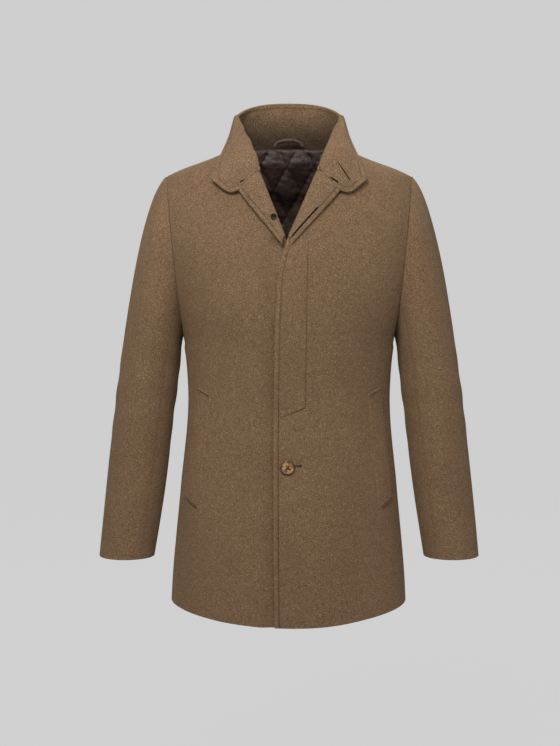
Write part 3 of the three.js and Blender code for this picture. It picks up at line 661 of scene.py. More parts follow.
for label, side in sides:
    half = body["woolThick"] / 2
    z = rowHeights(body["hemZ"], body["neckZ"], frontPanel["rowStep"])
    z = np.unique(np.concatenate([z, np.linspace(-0.462, -0.436, 34)])) if side > 0 else z
    inner, outer = innerX(side, z), outerX(side, z, frontPanel["inset"])
    reach = frontPanel["neckRun"] * (1 - smooth(-0.04, -0.002, z)) + 0.001
    underLine = np.minimum(body["stepEnd"] - 0.004, inner - reach)
    line = np.maximum(flyX(z), inner + reach) if side > 0 else underLine
    first = resample(frontRows(side, inner, line, z, half, 120), frontPanel["step"], edgeMarks, seamMarks)
    second = resample(frontRows(side, line, outer, z, half, 220), frontPanel["step"], seamMarks, seamMarks)
    lineColumn = first.shape[1] - 1
    grid = np.concatenate([first, second[:, 1:]], 1)
    over = runAcross(grid)
    heights = grid[..., 2]
    groove = bell(over - frontPanel["edgeStitch"], seamWidth) * (1 - smooth(-0.17, -0.15, heights))
    ply = 0 * over
    if side > 0:
        inFly = smooth(frontPanel["flyBottom"] - 0.002, frontPanel["flyBottom"] + 0.001, heights)
        fromFly = over - over[:, lineColumn:lineColumn + 1]
        topFade = 1 - smooth(-0.17, -0.14, heights)
        groove = np.maximum(groove, bell(fromFly, frontPanel["flySeam"]) * inFly * topFade)
        groove = np.maximum(groove, bell(fromLine(grid, *frontPanel["flyCorner"]), frontPanel["flySeam"]))
        ply = frontPanel["flyPly"] * (1 - smooth(-0.001, 0.002, fromFly)) * inFly * topFade
    # the grooves are sunk into the cloth and also carry painted shade along them
    grid = sink(grid, frontPanel["grooveDepth"] * (groove + frontPanel["hemShare"] * hemRidge(grid)) - ply)
    sewSheet(f"{label}Front", f"{label}_front_panel", grid, half, "wool",
             grooves=[groove])

# the right back runs on a little way under the left one at the centre seam
backPanel = {"inset": 0.0003, "step": 0.0060, "rowStep": 0.0070, "underlap": 0.0080, "underDepth": 0.0036,
             "foldMarks": (0.0072, 0.0080, 0.0086, 0.0092, 0.0100), "flat": (0.27, 0.88)}
for label, side in sides:
    half = body["woolThick"] / 2
    z = rowHeights(body["hemZ"], body["neckZ"], backPanel["rowStep"])[:, None]
    wide = halfWidth(z, backDepth(z))
    seam = (backPanel["inset"] if side > 0 else backPanel["underlap"]) / wide
    border = side * (outerShare(z, 1) - np.where(z < body["shoulderZ"], backPanel["inset"], 0) / wide)
    turns = turnOf(seam) + (turnOf(border) - turnOf(seam)) * np.linspace(0, 1, 220)
    under = backPanel["underDepth"] * smooth(-0.0006, 0.0014, shareOf(turns) * wide) * (side < 0)
    low = seamMarks if side > 0 else np.concatenate([seamMarks, backPanel["foldMarks"]])
    grid = resample(coatPoint(shareOf(turns), z, half + under, 1), backPanel["step"], low, seamMarks)
    grid = sink(grid, frontPanel["grooveDepth"] * frontPanel["hemShare"] * hemRidge(grid))
    sewSheet(f"{label}Back", f"{label}_back_panel", grid, half, "wool")

sidePanel = {"turn": 0.9985, "drop": 0.0022, "step": 0.0055, "rowStep": 0.007, "middle": (0, 0, -0.5),
             "flat": (0.13, 0.56)}
for label, side in sides:
    half = body["woolThick"] / 2
    turn = np.linspace(-sidePanel["turn"], sidePanel["turn"], 120)[None, :]
    top = body["armpitZ"] + (seamTopZ - body["armpitZ"]) * turn ** 2 - sidePanel["drop"]
    length = body["armpitZ"] - body["hemZ"]
    v = spread(length, sidePanel["rowStep"], edgeMarks, seamMarks)[:, None] / length
    z = body["hemZ"] + (top - body["hemZ"]) * v
    seamTurn = turnOf(np.array(body["seamShare"]))
    share = side * shareOf(np.pi / 2 - (np.pi / 2 - seamTurn) * np.abs(turn))
    share, z = np.broadcast_arrays(share, z)
    rows = np.where(turn[..., None] < 0, coatPoint(share, z, half, -1), coatPoint(share, z, half, 1))
    grid = resample(rows, sidePanel["step"], seamMarks, seamMarks)
    sewSheet(f"{label}Side", f"{label}_side_panel", grid, half, "wool",
             out=sidePanel["middle"])
print("coat body sewn")


facing = {"depth": 0.0058, "underDepth": 0.0041, "half": 0.0008, "inset": 0.002, "endX": 0.062,
          "hemGap": 0.006, "topZ": -0.180, "rowStep": 0.010, "step": 0.006, "flat": (0.095, 0.66),
          "underFlat": (0.055, 0.66)}
for label, side in sides:
    z = rowHeights(body["hemZ"] + facing["hemGap"], facing["topZ"], facing["rowStep"])
    start = (frontEdge(z) if side > 0 else underEdge(z)) + side * facing["inset"]
    stop = facing["endX"] if side > 0 else body["stepStart"] + facing["inset"]
    depth = facing["depth"] if side > 0 else facing["underDepth"]
    grid = resample(frontRows(side, start, stop, z, depth, 60), facing["step"], seamMarks, seamMarks)
    sewSheet(f"{label}Facing", f"{label}_front_facing", grid, facing["half"], "facingWool")

quilt = {"width": 0.049, "height": 0.085, "puff": 0.0058, "crossX": -0.003, "crossZ": -0.0212, "half": 0.0009,
         "depth": 0.0105, "padDepth": 0.008, "step": 0.0036, "backTop": 0.019, "upright": -0.006, "loose": 0.4,
         "gather": 0.0005, "gatherRun": 0.0125, "startX": 0.0635, "hemGap": 0.030, "clear": 0.005,
         "frontFlat": (0.25, 0.80), "backFlat": (0.62, 0.82)}


# stitched diamonds: the cloth sinks to the seam lines and puffs between them
def quiltPuff(grid):
    across = (grid[..., 0] - quilt["crossX"]) / quilt["width"]
    up = (grid[..., 2] - quilt["crossZ"]) / quilt["height"]
    first, second = np.abs(np.sin(np.pi * (across + up))), np.abs(np.sin(np.pi * (across - up)))
    gather = np.sin(2 * np.pi * (grid[..., 2] + 0.35 * grid[..., 0]) / quilt["gatherRun"])
    near = np.exp(-(np.minimum(first, second) / 0.5) ** 2)
    puff = quilt["puff"] * np.minimum(first, second) ** 0.55 + quilt["gather"] * gather * near
    # the seam lines also carry painted shade in the satin's colour
    line = np.maximum(bell(first, 0.07), bell(second, 0.07))
    rowGap, columnGap = edgeDistances(grid)
    fade = smooth(0.0, 0.004, np.minimum(rowGap, columnGap))
    return puff * fade, line * fade


def liningDepth(z):
    return quilt["depth"] + quilt["padDepth"] * smooth(-0.125, -0.060, z)


def liningShare(z, facingWay):
    clear = quilt["clear"] * smooth(0, body["shoulderZ"], z)
    deep = frontDepth(z) if facingWay < 0 else backDepth(z)
    return np.where(z < seamTopZ, 0.999, outerShare(z, facingWay) - clear / halfWidth(z, deep))


def sewLining(name, node, rows):
    grid = resample(rows, quilt["step"], seamMarks, seamMarks)
    puff, line = quiltPuff(grid)
    sewSheet(name, node, sink(grid, puff), quilt["half"], "satin", grooves=[line])


hemOfLining = body["hemZ"] + quilt["hemGap"]
for label, side in sides:
    z = rowHeights(hemOfLining, -0.008, quilt["step"], seamMarks, seamMarks)
    start = np.maximum(quilt["startX"], np.abs(innerX(side, z)) + 0.004)
    start = np.where(z < -0.120, quilt["startX"], start)
    stop = liningShare(z, -1) * halfWidth(z, frontDepth(z))
    rows = frontRows(side, side * start, side * stop, z, liningDepth(z)[:, None], 150, quilt["loose"])
    sewLining(f"{label}FrontLining", f"{label}_front_lining", rows)
z = rowHeights(hemOfLining, quilt["backTop"], quilt["step"], seamMarks, seamMarks)[:, None]
turns = turnOf(liningShare(np.minimum(z, 0), 1)) * np.linspace(-1, 1, 300)
fitZ = np.minimum(z, quilt["upright"])
rows = coatPoint(shareOf(turns), fitZ, liningDepth(z), 1, quilt["loose"])
rows[..., 2] += z - fitZ
sewLining("backLining", "back_lining", rows)
print("lining quilted")

pocket = {"top": ((0.157, -0.408), (0.136, -0.419)), "bottom": ((0.178, -0.605), (0.157, -0.621)),
          "out": 0.0016, "half": 0.0010, "sewnIn": 0.0019, "bow": 0.0008, "length": 0.2, "step": 0.0035,
          "flat": (0.028, 0.204)}
for label, side in sides:
    v = spread(pocket["length"], 0.005, seamMarks, seamMarks)[:, None] / pocket["length"]
    u = np.linspace(0, 1, 60)[None, :]
    bottom, top = np.array(pocket["bottom"]), np.array(pocket["top"])
    low = bottom[0] + (bottom[1] - bottom[0]) * u[..., None]
    high = top[0] + (top[1] - top[0]) * u[..., None]
    flat = low + (high - low) * v[..., None]
    x, z = side * flat[..., 0], flat[..., 1]
    bow = pocket["bow"] * np.sin(np.pi * v) * (1 - u) - pocket["sewnIn"] * smooth(0.45, 1.0, u)
    rows = coatPoint(shareAtX(x, z, -1), z, -pocket["out"] - bow, -1)
    grid = resample(rows, pocket["step"], seamMarks, seamMarks)
    sewSheet(f"{label}PocketWelt", f"{label}_pocket_welt", grid, pocket["half"], "wool",
             out=(0, 0, -0.5))
print("pockets set in")


# each row runs from the inside of the front, round the roll and out to the lapel's free edge
lapel = {"half": 0.0024, "insideX": 0.066, "insideDepth": 0.0072, "rollOut": 0.0042, "lie": 0.0066,
         "edgeLie": 0.0052, "stitch": 0.0080, "topStitch": 0.0055, "flySlit": 0.0092, "length": 0.122,
         "rollInside": 0.014, "belly": 0.0022, "turnDepth": 0.0040, "rollFront": 0.0052, "groove": 0.0007,
         "flat": (0.16, 0.135)}
lapelLines = {"left": (((0.001, -0.147), (0.050, -0.036)), ((0.003, -0.160), (0.088, -0.066))),
              "right": (((-0.010, -0.147), (-0.054, -0.036)), ((-0.012, -0.160), (-0.088, -0.066)))}
for label, side in sides:
    roll, outer = np.array(lapelLines[label][0]), np.array(lapelLines[label][1])
    v = spread(lapel["length"], 0.003, edgeMarks[:-1], edgeMarks[:-1])[:, None] / lapel["length"]
    rollAt, outerAt = roll[0] + (roll[1] - roll[0]) * v, outer[0] + (outer[1] - outer[0]) * v
    insideX = side * np.maximum(lapel["insideX"], np.abs(rollAt[:, 0]) + lapel["rollInside"])
    rollSteps = []
    insideDepth = lapel["insideDepth"]
    for share, depth in ((1.0, insideDepth), (0.3, insideDepth - 0.0004), (0.0, lapel["turnDepth"])):
        clear = side * 0.0015 if share else 0
        rollSteps.append((rollAt[:, 0] + share * (insideX - rollAt[:, 0]) + clear, rollAt[:, 1], depth))
    rollSteps.append((rollAt[:, 0] - side * lapel["rollOut"] * 0.6, rollAt[:, 1], 0.0002))
    rollSteps.append((rollAt[:, 0], rollAt[:, 1], -lapel["rollFront"]))
    for share in np.linspace(0.12, 1, 12):
        flat = rollAt + (outerAt - rollAt) * share
        belly = lapel["belly"] * np.sin(np.pi * share) * v[:, 0]
        lie = lapel["lie"] + belly - (lapel["lie"] - lapel["edgeLie"]) * share
        rollSteps.append((flat[:, 0], flat[:, 1], -lie))
    rolls = [bodyPoint(shareAtX(x, z, -1), z, depth, -1) for x, z, depth in rollSteps]
    knots = np.stack(rolls, 1)
    for _ in range(3):
        middle = (knots[:, 1:] + knots[:, :-1]) / 2
        near, far = (knots[:, :-1] + middle) / 2, (middle + knots[:, 1:]) / 2
        cut = np.stack([near, far], 2).reshape(len(knots), -1, 3)
        knots = np.concatenate([knots[:, :1], cut, knots[:, -1:]], 1)
    grid = resample(knots, 0.0032, seamMarks, edgeMarks)
    over = runAcross(grid)
    fromEdge = over[:, -1:] - over
    down = runDown(grid)
    fromTop = down[-1:] - down
    onFace = 1 - smooth(0.058, 0.066, fromEdge)
    edgeSeam = bell(fromEdge - lapel["stitch"], seamWidth)
    topSeam = bell(fromTop - lapel["topStitch"], seamWidth)
    groove = np.maximum(edgeSeam, topSeam) * onFace
    if side > 0:
        # the fly slit sinks into the lapel and carries painted shade along it
        opening = bell(fromEdge - lapel["flySlit"], 0.0011) * (1 - smooth(0.55, 0.66, v)) * onFace
        groove = np.maximum(groove * (v > 0.6), 2.2 * opening)
    normal = normalsOf(grid)
    facingOut = np.sign(np.mean(normal[:, -5:, 1])) * -1
    grid = grid - normal * facingOut * lapel["groove"] * groove[..., None]
    # points for the dark rod that stands for the shadow in the fly opening
    if side > 0:
        nearEdge = np.argmin(np.abs(fromEdge - lapel["flySlit"]), 1)
        lapelOpeningShadow = [grid[row, nearEdge[row]] - np.array([0, lapel["half"] * 0.95, 0])
                        for row in range(len(grid)) if 0.04 < v[row, 0] < 0.60]
    sewSheet(f"{label}Lapel", f"{label}_lapel", grid, lapel["half"], "collarWool",
             grooves=[np.minimum(groove, 1)], out=None)
print("lapels turned")


# five lines in millimetres from mid back to the left front, from the neck seam over the fold to the free edge
collar = {"half": 0.0024, "stitch": 0.0090, "wave": 0.0009, "waveRun": 0.055, "allowance": 0.010,
          "tuck": 0.965, "rowStep": 0.0045, "step": 0.0028, "flat": (0.56, 0.125)}
collarLines = {
    "seam": [(0, 76, 13), (58, 69, 12), (95, 51, 7), (112, 6, 0), (110, -34, 0), (82, -77, -12),
             (58, -93, -26)],
    "stand": [(0, 79, 40), (56, 72, 39), (90, 50, 34), (99, 4, 33), (90, -30, 32), (68, -70, 6),
              (53, -95, -31)],
    "fold": [(0, 83, 66), (54, 76, 64), (86, 49, 58), (90, 0, 62), (82, -36, 44), (65, -82, 8),
             (50, -101, -33)],
    "fall": [(0, 86, 80), (53, 78, 78), (84, 48, 68), (94, -4, 64), (92, -46, 38), (87, -92, -7),
             (98, -109, -71)],
    "edge": [(0, 88, 94), (52, 80, 90), (83, 46, 77), (96, -4, 57), (106, -40, 24), (122, -70, -14),
             (134, -96, -49)],
}


# centripetal Catmull-Rom through points, read at shares of the way; the ends are mirrored outwards
def throughPoints(points, shares):
    padded = np.concatenate([[2 * points[0] - points[1]], points, [2 * points[-1] - points[-2]]])
    place = np.clip(shares, 0, 1) * (len(points) - 1)
    index = np.minimum(place.astype(int), len(points) - 2)
    t = (place - index)[:, None]
    p = [padded[index + k] for k in range(4)]
    chords = [p[k + 1] - p[k] for k in range(3)]
    gap = [np.maximum(np.linalg.norm(chord, axis=1, keepdims=True), 1e-9) ** 0.5 for chord in chords]
    leave = (chords[0] / gap[0] - (p[2] - p[0]) / (gap[0] + gap[1]) + chords[1] / gap[1]) * gap[1]
    arrive = (chords[1] / gap[1] - (p[3] - p[1]) / (gap[1] + gap[2]) + chords[2] / gap[2]) * gap[1]
    cubic = 2 * p[1] - 2 * p[2] + leave + arrive
    square = -3 * p[1] + 3 * p[2] - 2 * leave - arrive
    return cubic * t ** 3 + square * t ** 2 + leave * t + p[1]


alongShares = np.linspace(0, 1, 420)
curves = []
for line in collarLines.values():
    points = np.array(line) / 1000
    mirrored = points[:0:-1] * np.array([-1, 1, 1])
    curves.append(throughPoints(np.concatenate([mirrored, points]), alongShares))
curves = np.stack(curves, 1)
# the collar's seam allowance goes down inside the neck, behind the top edge of the body
tucked = np.array([collar["tuck"], collar["tuck"], 1])
allowance = curves[:, :1] * tucked - np.array([0, 0, collar["allowance"]])
curves = np.concatenate([allowance, curves], 1)
acrossShares = np.linspace(0, 1, 90)
surface = np.stack([throughPoints(curves[i], acrossShares) for i in range(len(curves))])
fine = resample(surface, collar["step"], seamMarks, edgeMarks)
grid = resample(fine.transpose(1, 0, 2), collar["rowStep"], edgeMarks, edgeMarks).transpose(1, 0, 2)
over, down = runAcross(grid), runDown(grid)
fromFree = over[:, -1:] - over
fromEnd = np.minimum(down, down[-1:] - down)
# stitch grooves near the free edge and the ends: thinner cloth there, with painted shade along them
groove = np.maximum(bell(fromFree - collar["stitch"], seamWidth) * smooth(0.007, 0.010, fromEnd),
                    bell(fromEnd - collar["stitch"], seamWidth) * smooth(0.007, 0.010, fromFree))
wave = collar["wave"] * np.sin(down * 2 * np.pi / collar["waveRun"] + 0.8)
wave = wave * smooth(0, 0.03, fromFree) * smooth(0, 0.02, over)
grid = grid + normalsOf(grid) * wave[..., None]
thick, marks = clothSection(grid, collar["half"], [groove])
thick = thick * (1 - 0.22 * groove)
collarGrid = grid
# painted shade inside the collar: the face towards the neck is darkest near the neck seam, fading out towards
# the fold and towards the front ends
deep = (1 - smooth(0.014, 0.105, over)) * smooth(0.06, 0.16, fromEnd)
marks["paintedInnerShade"] = (0 * deep, deep)  # only the face towards the neck is in shade
collarPiece = clothPiece("collar", grid, thick, finish["collarWool"], marks=marks)
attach(collarPiece, "torso")
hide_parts("under_collar", "top_collar")
print("collar set on")


sleeve = {"capClear": 0.0004, "outUnder": 0.006, "outOver": 0.036, "downUnder": 0.012, "downOver": 0.026,
          "capEndZ": -0.383, "elbowEndZ": -0.467, "cuffZ": -0.712, "liningDepth": 0.0041, "turnUp": 0.040,
          "fold": 0.0016, "seamTurn": 2.2, "backSeamTurn": 4.6, "capLength": 0.33, "smoothing": 14, "near": 7,
          "blendX": 0.2172, "blendRun": (0.01435, 0, -0.00145), "elbowX": 0.254}
# how far the armhole seam allowance is tucked in: towards the middle of the armhole, and towards the neck
tuckSteps = ((0.0040, 0.0050), (0.0036, 0.0036), (0.0032, 0.0022), (0.0019, 0.0008), (0.0008, 0.0002))


def tubePoint(side, turn, z, depth):
    middle = (sleeveOuter(z) + sleeveInner(z)) / 2
    half = (sleeveOuter(z) - sleeveInner(z)) / 2 - depth
    y = sleevePitch(z) - (sleeveDepth(z) - depth) * np.sin(turn)
    return np.stack(np.broadcast_arrays(side * (middle + half * np.cos(turn)), y, z), -1)


# from the armhole at v = 0 over the sleeve head to the top of the elbow at v = 1
def capPoint(side, turn, v, depth):
    z = armholeMid + (armholeTall - depth) * np.cos(turn)
    y = -(body["armholeHalf"] - depth) * np.sin(turn)
    start = np.stack(np.broadcast_arrays(side * (armholeX(z) + sleeve["capClear"]), y, z), -1)
    outside = (1 + np.cos(turn)) / 2
    out = sleeve["outUnder"] + sleeve["outOver"] * outside
    down = sleeve["downUnder"] + sleeve["downOver"] * outside
    pull = np.stack(np.broadcast_arrays(side * out, -0.010 * np.sin(turn), -down), -1)
    end = tubePoint(side, turn, np.full(turn.shape, sleeve["capEndZ"]), depth)
    v = v[..., None]
    return (1 - v) ** 2 * start + 2 * v * (1 - v) * (start + pull) + v * v * end


# loose folds of a sleeve: short diagonal swells at the elbow and long ones down the arm
def sleeveFold(grid, side, loose=1.0):
    x, y, z = side * grid[..., 0], grid[..., 1], grid[..., 2]
    elbow = bell(z + 0.425, 0.075)
    small = np.sin(2 * np.pi * (z / 0.062 + y / 0.15) + 0.7) * elbow
    slow = drape(grid * np.array([1.2, 1, 0.5]), 1.0, 23 if side > 0 else 29)
    hold = smooth(0.0, 0.05, np.abs(z - sleeve["cuffZ"]))
    fold = 0.45 * small + 0.75 * slow * (0.35 + 0.65 * hold)
    return loose * sleeve["fold"] * fold * smooth(0.03, 0.12, -z)


# distance, round the sleeve, from the nearer of its two long seams
def fromSleeveSeam(turn):
    return np.minimum(np.abs(turn - sleeve["seamTurn"]), np.abs(turn - sleeve["backSeamTurn"]))


def outwardNormals(grid):
    normal = normalsOf(grid, True)
    inward = np.mean(np.einsum("ijk,ijk->ij", normal, grid - grid.mean(1, keepdims=True))) < 0
    return -normal if inward else normal


# the whole sleeve as one surface, from a seam allowance tucked inside the armhole down to its low end;
# gives the grid, its normals and the row where the upper piece hands over to the lower one
def sleeveSurface(side, bottomZ, depth, step, columns, loose, lowMarks, tuck=True):
    turn = np.linspace(0, 2 * np.pi, columns, endpoint=False)[None, :]
    v = spread(sleeve["capLength"], step, seamMarks, openMark)[:, None] / sleeve["capLength"]
    cap = capPoint(side, turn, v * np.ones_like(turn), depth)
    z = sleeve["capEndZ"] - spread(sleeve["capEndZ"] - bottomZ, step, openMark, lowMarks)[1:, None]
    grid = np.concatenate([cap, tubePoint(side, turn, z, depth)])
    handOver = len(cap) - 1
    near = sleeve["near"]
    for _ in range(sleeve["smoothing"]):
        wider = grid[handOver - near - 1:handOver + near + 2]
        grid[handOver - near:handOver + near + 1] = 0.25 * wider[:-2] + 0.5 * wider[1:-1] + 0.25 * wider[2:]
    still = smooth(0, 0.04, runDown(grid))
    seam = bell(fromSleeveSeam(turn), 0.035) * 0.0008
    away = (sleeveFold(grid, side, loose) + 0.0004) * still - seam * loose
    grid = grid + outwardNormals(grid) * away[..., None]
    if tuck:
        centre = np.array([0, 0, armholeMid])
        inward = (centre - grid[0]) * np.array([0, 1, 1])
        inward = inward / np.linalg.norm(inward, axis=1, keepdims=True)
        rows = [grid[0] + inward * deep - np.array([side * back, 0, 0]) for deep, back in tuckSteps]
        grid = np.concatenate([np.array(rows), grid])
        handOver += len(rows)
    return grid, outwardNormals(grid), handOver, turn


openMark = np.array([0.0])
# seam sets how strong the painted shade along the sleeve's two long seams is
sleeveKinds = {
    "Sleeve": {"half": body["woolThick"] / 2, "finish": "wool", "slot": "wool_melange", "seam": 0.5,
               "flats": ((0.42, 0.37), (0.37, 0.34)),
               "nodes": (["upper_sleeve"], ["elbow_cloth", "forearm_sleeve"])},
    "SleeveLining": {"half": 0.0007, "finish": "satin", "slot": "satin_lining", "seam": 0.0,
                     "flats": ((0.41, 0.36), (0.36, 0.30)),
                     "nodes": (["upper_sleeve_lining"], ["forearm_lining"])},
}


# cuts one sleeve surface at its hand-over row into an upper and a lower piece
def sewSleeve(label, kind, surface):
    grid, normal, handOver, turn = surface
    made = sleeveKinds[kind]
    # where the painted shade lies along the sleeve seams
    seamShadeMask = bell(fromSleeveSeam(turn), 0.02)
    for isUpper, flat, replaced in zip((True, False), made["flats"], made["nodes"]):
        rows = slice(0, handOver + 1) if isUpper else slice(handOver, len(grid))
        part = grid[rows]
        cutEdge = runDown(part) if isUpper else runDown(part)[-1:] - runDown(part)
        thick = rounded(cutEdge, made["half"])
        marks = {"paintedSeamShade": np.zeros(thick.shape) + made["seam"] * seamShadeMask, "edgeWear": worn(cutEdge)}
        name = label + ("Upper" if isUpper else "Lower") + kind
        piece = clothPiece(name, part, thick, finish[made["finish"]], ring=True,
                           out=part.reshape(-1, 3).mean(0), marks=marks, cutRow=-1 if isUpper else 0,
                           normal=normal[rows])
        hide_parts(*[f"{label}_{node}" for node in replaced])
        if isUpper:
            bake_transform(piece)
        else:
            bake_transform(piece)


cuffTurnUp = {"gap": 0.0012, "depth": 0.0042, "half": 0.0011, "stitch": 0.003, "flat": (0.25, 0.042)}
for label, side in sides:
    wool = sleeveSurface(side, sleeve["cuffZ"], body["woolThick"] / 2, 0.0055, 150, 1.0, edgeMarks)
    satin = sleeveSurface(side, sleeve["cuffZ"] + sleeve["turnUp"], sleeve["liningDepth"], 0.009, 90, 0.5,
                          seamMarks, tuck=False)
    sewSleeve(label, "Sleeve", wool)
    sewSleeve(label, "SleeveLining", satin)
    z = sleeve["cuffZ"] + cuffTurnUp["gap"] + spread(sleeve["turnUp"], 0.005, seamMarks, seamMarks)[:, None]
    turn = np.linspace(0, 2 * np.pi, 120, endpoint=False)[None, :]
    grid = tubePoint(side, turn, z, cuffTurnUp["depth"])
    rowGap, _ = edgeDistances(grid, True)
    # painted shade along the stitch line near the turn-up's edges, and wear at them
    marks = {"paintedSeamShade": bell(rowGap - cuffTurnUp["stitch"], 0.0008), "edgeWear": worn(rowGap, 0.003)}
    cuff = clothPiece(f"{label}CuffTurnUp", grid, rounded(rowGap, cuffTurnUp["half"]), finish["facingWool"],
                      ring=True, out=grid.reshape(-1, 3).mean(0), marks=marks)
    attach(cuff, f"{label}_forearm")
    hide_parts(f"{label}_cuff_turn_up")
print("sleeves set in")


def meshObject(name, shape, shadeSmooth=True):
    mesh = bpy.data.meshes.new(name)
    shape.to_mesh(mesh)
    shape.free()
    for polygon in mesh.polygons:
        polygon.use_smooth = shadeSmooth
    made = bpy.data.objects.new(name, mesh)
    bpy.context.scene.collection.objects.link(made)
    return made


def smoothPiece(name, shape, look, bodyName, nodes=()):
    piece = meshObject(name, shape)
    piece.data.materials.append(finish[look])
    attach(piece, bodyName)
    if nodes:
        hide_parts(*nodes)
    return piece


# faces between neighbouring rings of vertices; a ring of one vertex is a pole
def skinRings(shape, rings):
    for lower, upper in zip(rings, rings[1:]):
        count = max(len(lower), len(upper))
        for i in range(count):
            j = (i + 1) % count
            if len(lower) == 1:
                shape.faces.new((lower[0], upper[j], upper[i]))
            elif len(upper) == 1:
                shape.faces.new((lower[i], lower[j], upper[0]))
            else:
                shape.faces.new((lower[i], lower[j], upper[j], upper[i]))


# a turned disc facing -Y: (radius, height) pairs run from the middle of its back to the middle of its face
def turnedDisc(outline, centre, steps=72):
    shape = bmesh.new()
    rings = []
    angles = [2 * math.pi * i / steps for i in range(steps)]
    for radius, height in outline:
        y = centre[1] - height
        around = angles if radius > 1e-6 else [0.0]
        reach = radius if radius > 1e-6 else 0.0
        rings.append([shape.verts.new((centre[0] + reach * math.cos(a), y, centre[2] + reach * math.sin(a)))
                      for a in around])
    skinRings(shape, rings)
    bmesh.ops.recalc_face_normals(shape, faces=shape.faces)
    return shape


def cutWith(piece, cutters):
    for cutter in cutters:
        modifier = piece.modifiers.new("cut", "BOOLEAN")
        modifier.object = cutter
        modifier.operation = "DIFFERENCE"
        modifier.solver = "EXACT"
    bpy.context.view_layer.update()
    graph = bpy.context.evaluated_depsgraph_get()
    cut = bpy.data.meshes.new_from_object(piece.evaluated_get(graph))
    piece.modifiers.clear()
    piece.data = cut
    for cutter in cutters:
        bpy.data.objects.remove(cutter)


# a round rod through a list of points, closed at both ends
def rod(shape, points, radius, faceCount=8):
    points = [Vector(p) for p in points]
    rings = []
    for i, point in enumerate(points):
        way = (points[min(i + 1, len(points) - 1)] - points[max(i - 1, 0)]).normalized()
        first = way.orthogonal().normalized()
        second = way.cross(first)
        angles = [2 * math.pi * k / faceCount for k in range(faceCount)]
        rings.append([shape.verts.new(point + radius * (math.cos(a) * first + math.sin(a) * second))
                      for a in angles])
    for lower, upper in zip(rings, rings[1:]):
        shift = min(range(faceCount), key=lambda s: (lower[0].co - upper[s].co).length)
        for k in range(faceCount):
            m = (k + 1) % faceCount
            far, near = upper[(m + shift) % faceCount], upper[(k + shift) % faceCount]
            shape.faces.new((lower[k], lower[m], far, near))
    for ring, point, before in ((rings[0], points[0], points[1]), (rings[-1], points[-1], points[-2])):
        tip = shape.verts.new(point + (point - before).normalized() * radius * 0.8)
        for k in range(faceCount):
            shape.faces.new((ring[k], ring[(k + 1) % faceCount], tip))


# points on a straight line between two places
def between(first, last, shares):
    first, last = np.array(first, float), np.array(last, float)
    return first + (last - first) * np.asarray(shares)[:, None]


# the button's outline gives shares of its radius and of its thickness
button = {"x": -0.003, "z": -0.542, "radius": 0.0125, "thick": 0.0036, "back": 0.0010, "hole": 0.0011,
          "holePlace": 0.0026, "rimStart": 0.74, "rimRun": 0.14, "rimShade": 0.85, "threadRadius": 0.00036,
          "threadGap": 0.00035, "neckRadius": 0.0053, "neckThick": 0.0022, "neckOut": 0.0032,
          "outline": [(0, 0), (0.80, 0), (0.90, 0.10), (0.97, 0.27), (1.0, 0.55), (0.985, 0.78), (0.94, 0.94),
                      (0.87, 1.0), (0.80, 0.96), (0.74, 0.84), (0.66, 0.76), (0.45, 0.72), (0.2, 0.70),
                      (0, 0.70)]}
faceY = float(bodyPoint(shareAtX(button["x"], button["z"], -1), button["z"], 0, -1)[1])
centre = (button["x"], faceY - button["back"], button["z"])
outline = [(r * button["radius"], h * button["thick"]) for r, h in button["outline"]]
frontButton = smoothPiece("frontButton", turnedDisc(outline, centre), "horn", "front_button",
                          ["front_button"])
corners = [(a * button["holePlace"], b * button["holePlace"]) for a in (-1, 1) for b in (-1, 1)]
drillOutline = [(0, -0.004), (button["hole"], -0.004), (button["hole"], 0.009), (0, 0.009)]
drills = [meshObject("drill", turnedDisc(drillOutline, (centre[0] + x, centre[1], centre[2] + z), 20), False)
          for x, z in corners]
cutWith(frontButton, drills)
rim = frontButton.data.attributes.new("rimShade", "FLOAT", "POINT")
places = [v.co for v in frontButton.data.vertices]
away = [math.hypot(co.x - centre[0], co.z - centre[2]) / button["radius"] for co in places]
rimShares = [min(1, max(0, (a - button["rimStart"]) / button["rimRun"])) for a in away]
rim.data.foreach_set("value", [share * button["rimShade"] for share in rimShares])

# crossed threads through the four holes, two strands each way
crossing = bmesh.new()
top = centre[1] - 0.72 * button["thick"]
low = centre[1] - 0.35 * button["thick"]
for lean, lift in ((1, 0.0002), (-1, 0.0)):
    for shift in (-button["threadGap"], button["threadGap"]):
        ends = [(centre[0] + reach + shift, lean * reach + centre[2] - shift)
                for reach in (-button["holePlace"], button["holePlace"])]
        middle = [(ends[0][0] * (1 - t) + ends[1][0] * t, top - 0.0006 - 0.0003 * math.sin(math.pi * t) - lift,
                   ends[0][1] * (1 - t) + ends[1][1] * t) for t in (0.1, 0.3, 0.5, 0.7, 0.9)]
        strand = [(ends[0][0], low, ends[0][1]), *middle, (ends[1][0], low, ends[1][1])]
        rod(crossing, strand, button["threadRadius"])
smoothPiece("buttonThread", crossing, "thread", "front_button")

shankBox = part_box("front_button_shank")
shank = bmesh.new()
for twist in range(3):
    turnPoints = []
    for i in range(9):
        t = i / 8
        angle = 2 * math.pi * (t * 1.5 + twist / 3)
        y = shankBox[0][1] + (shankBox[1][1] - shankBox[0][1]) * t
        turnPoints.append((button["x"] + 0.0006 * math.cos(angle), y, button["z"] + 0.0006 * math.sin(angle)))
    rod(shank, turnPoints, 0.00062)
smoothPiece("buttonShank", shank, "thread", "torso", ["front_button_shank"])

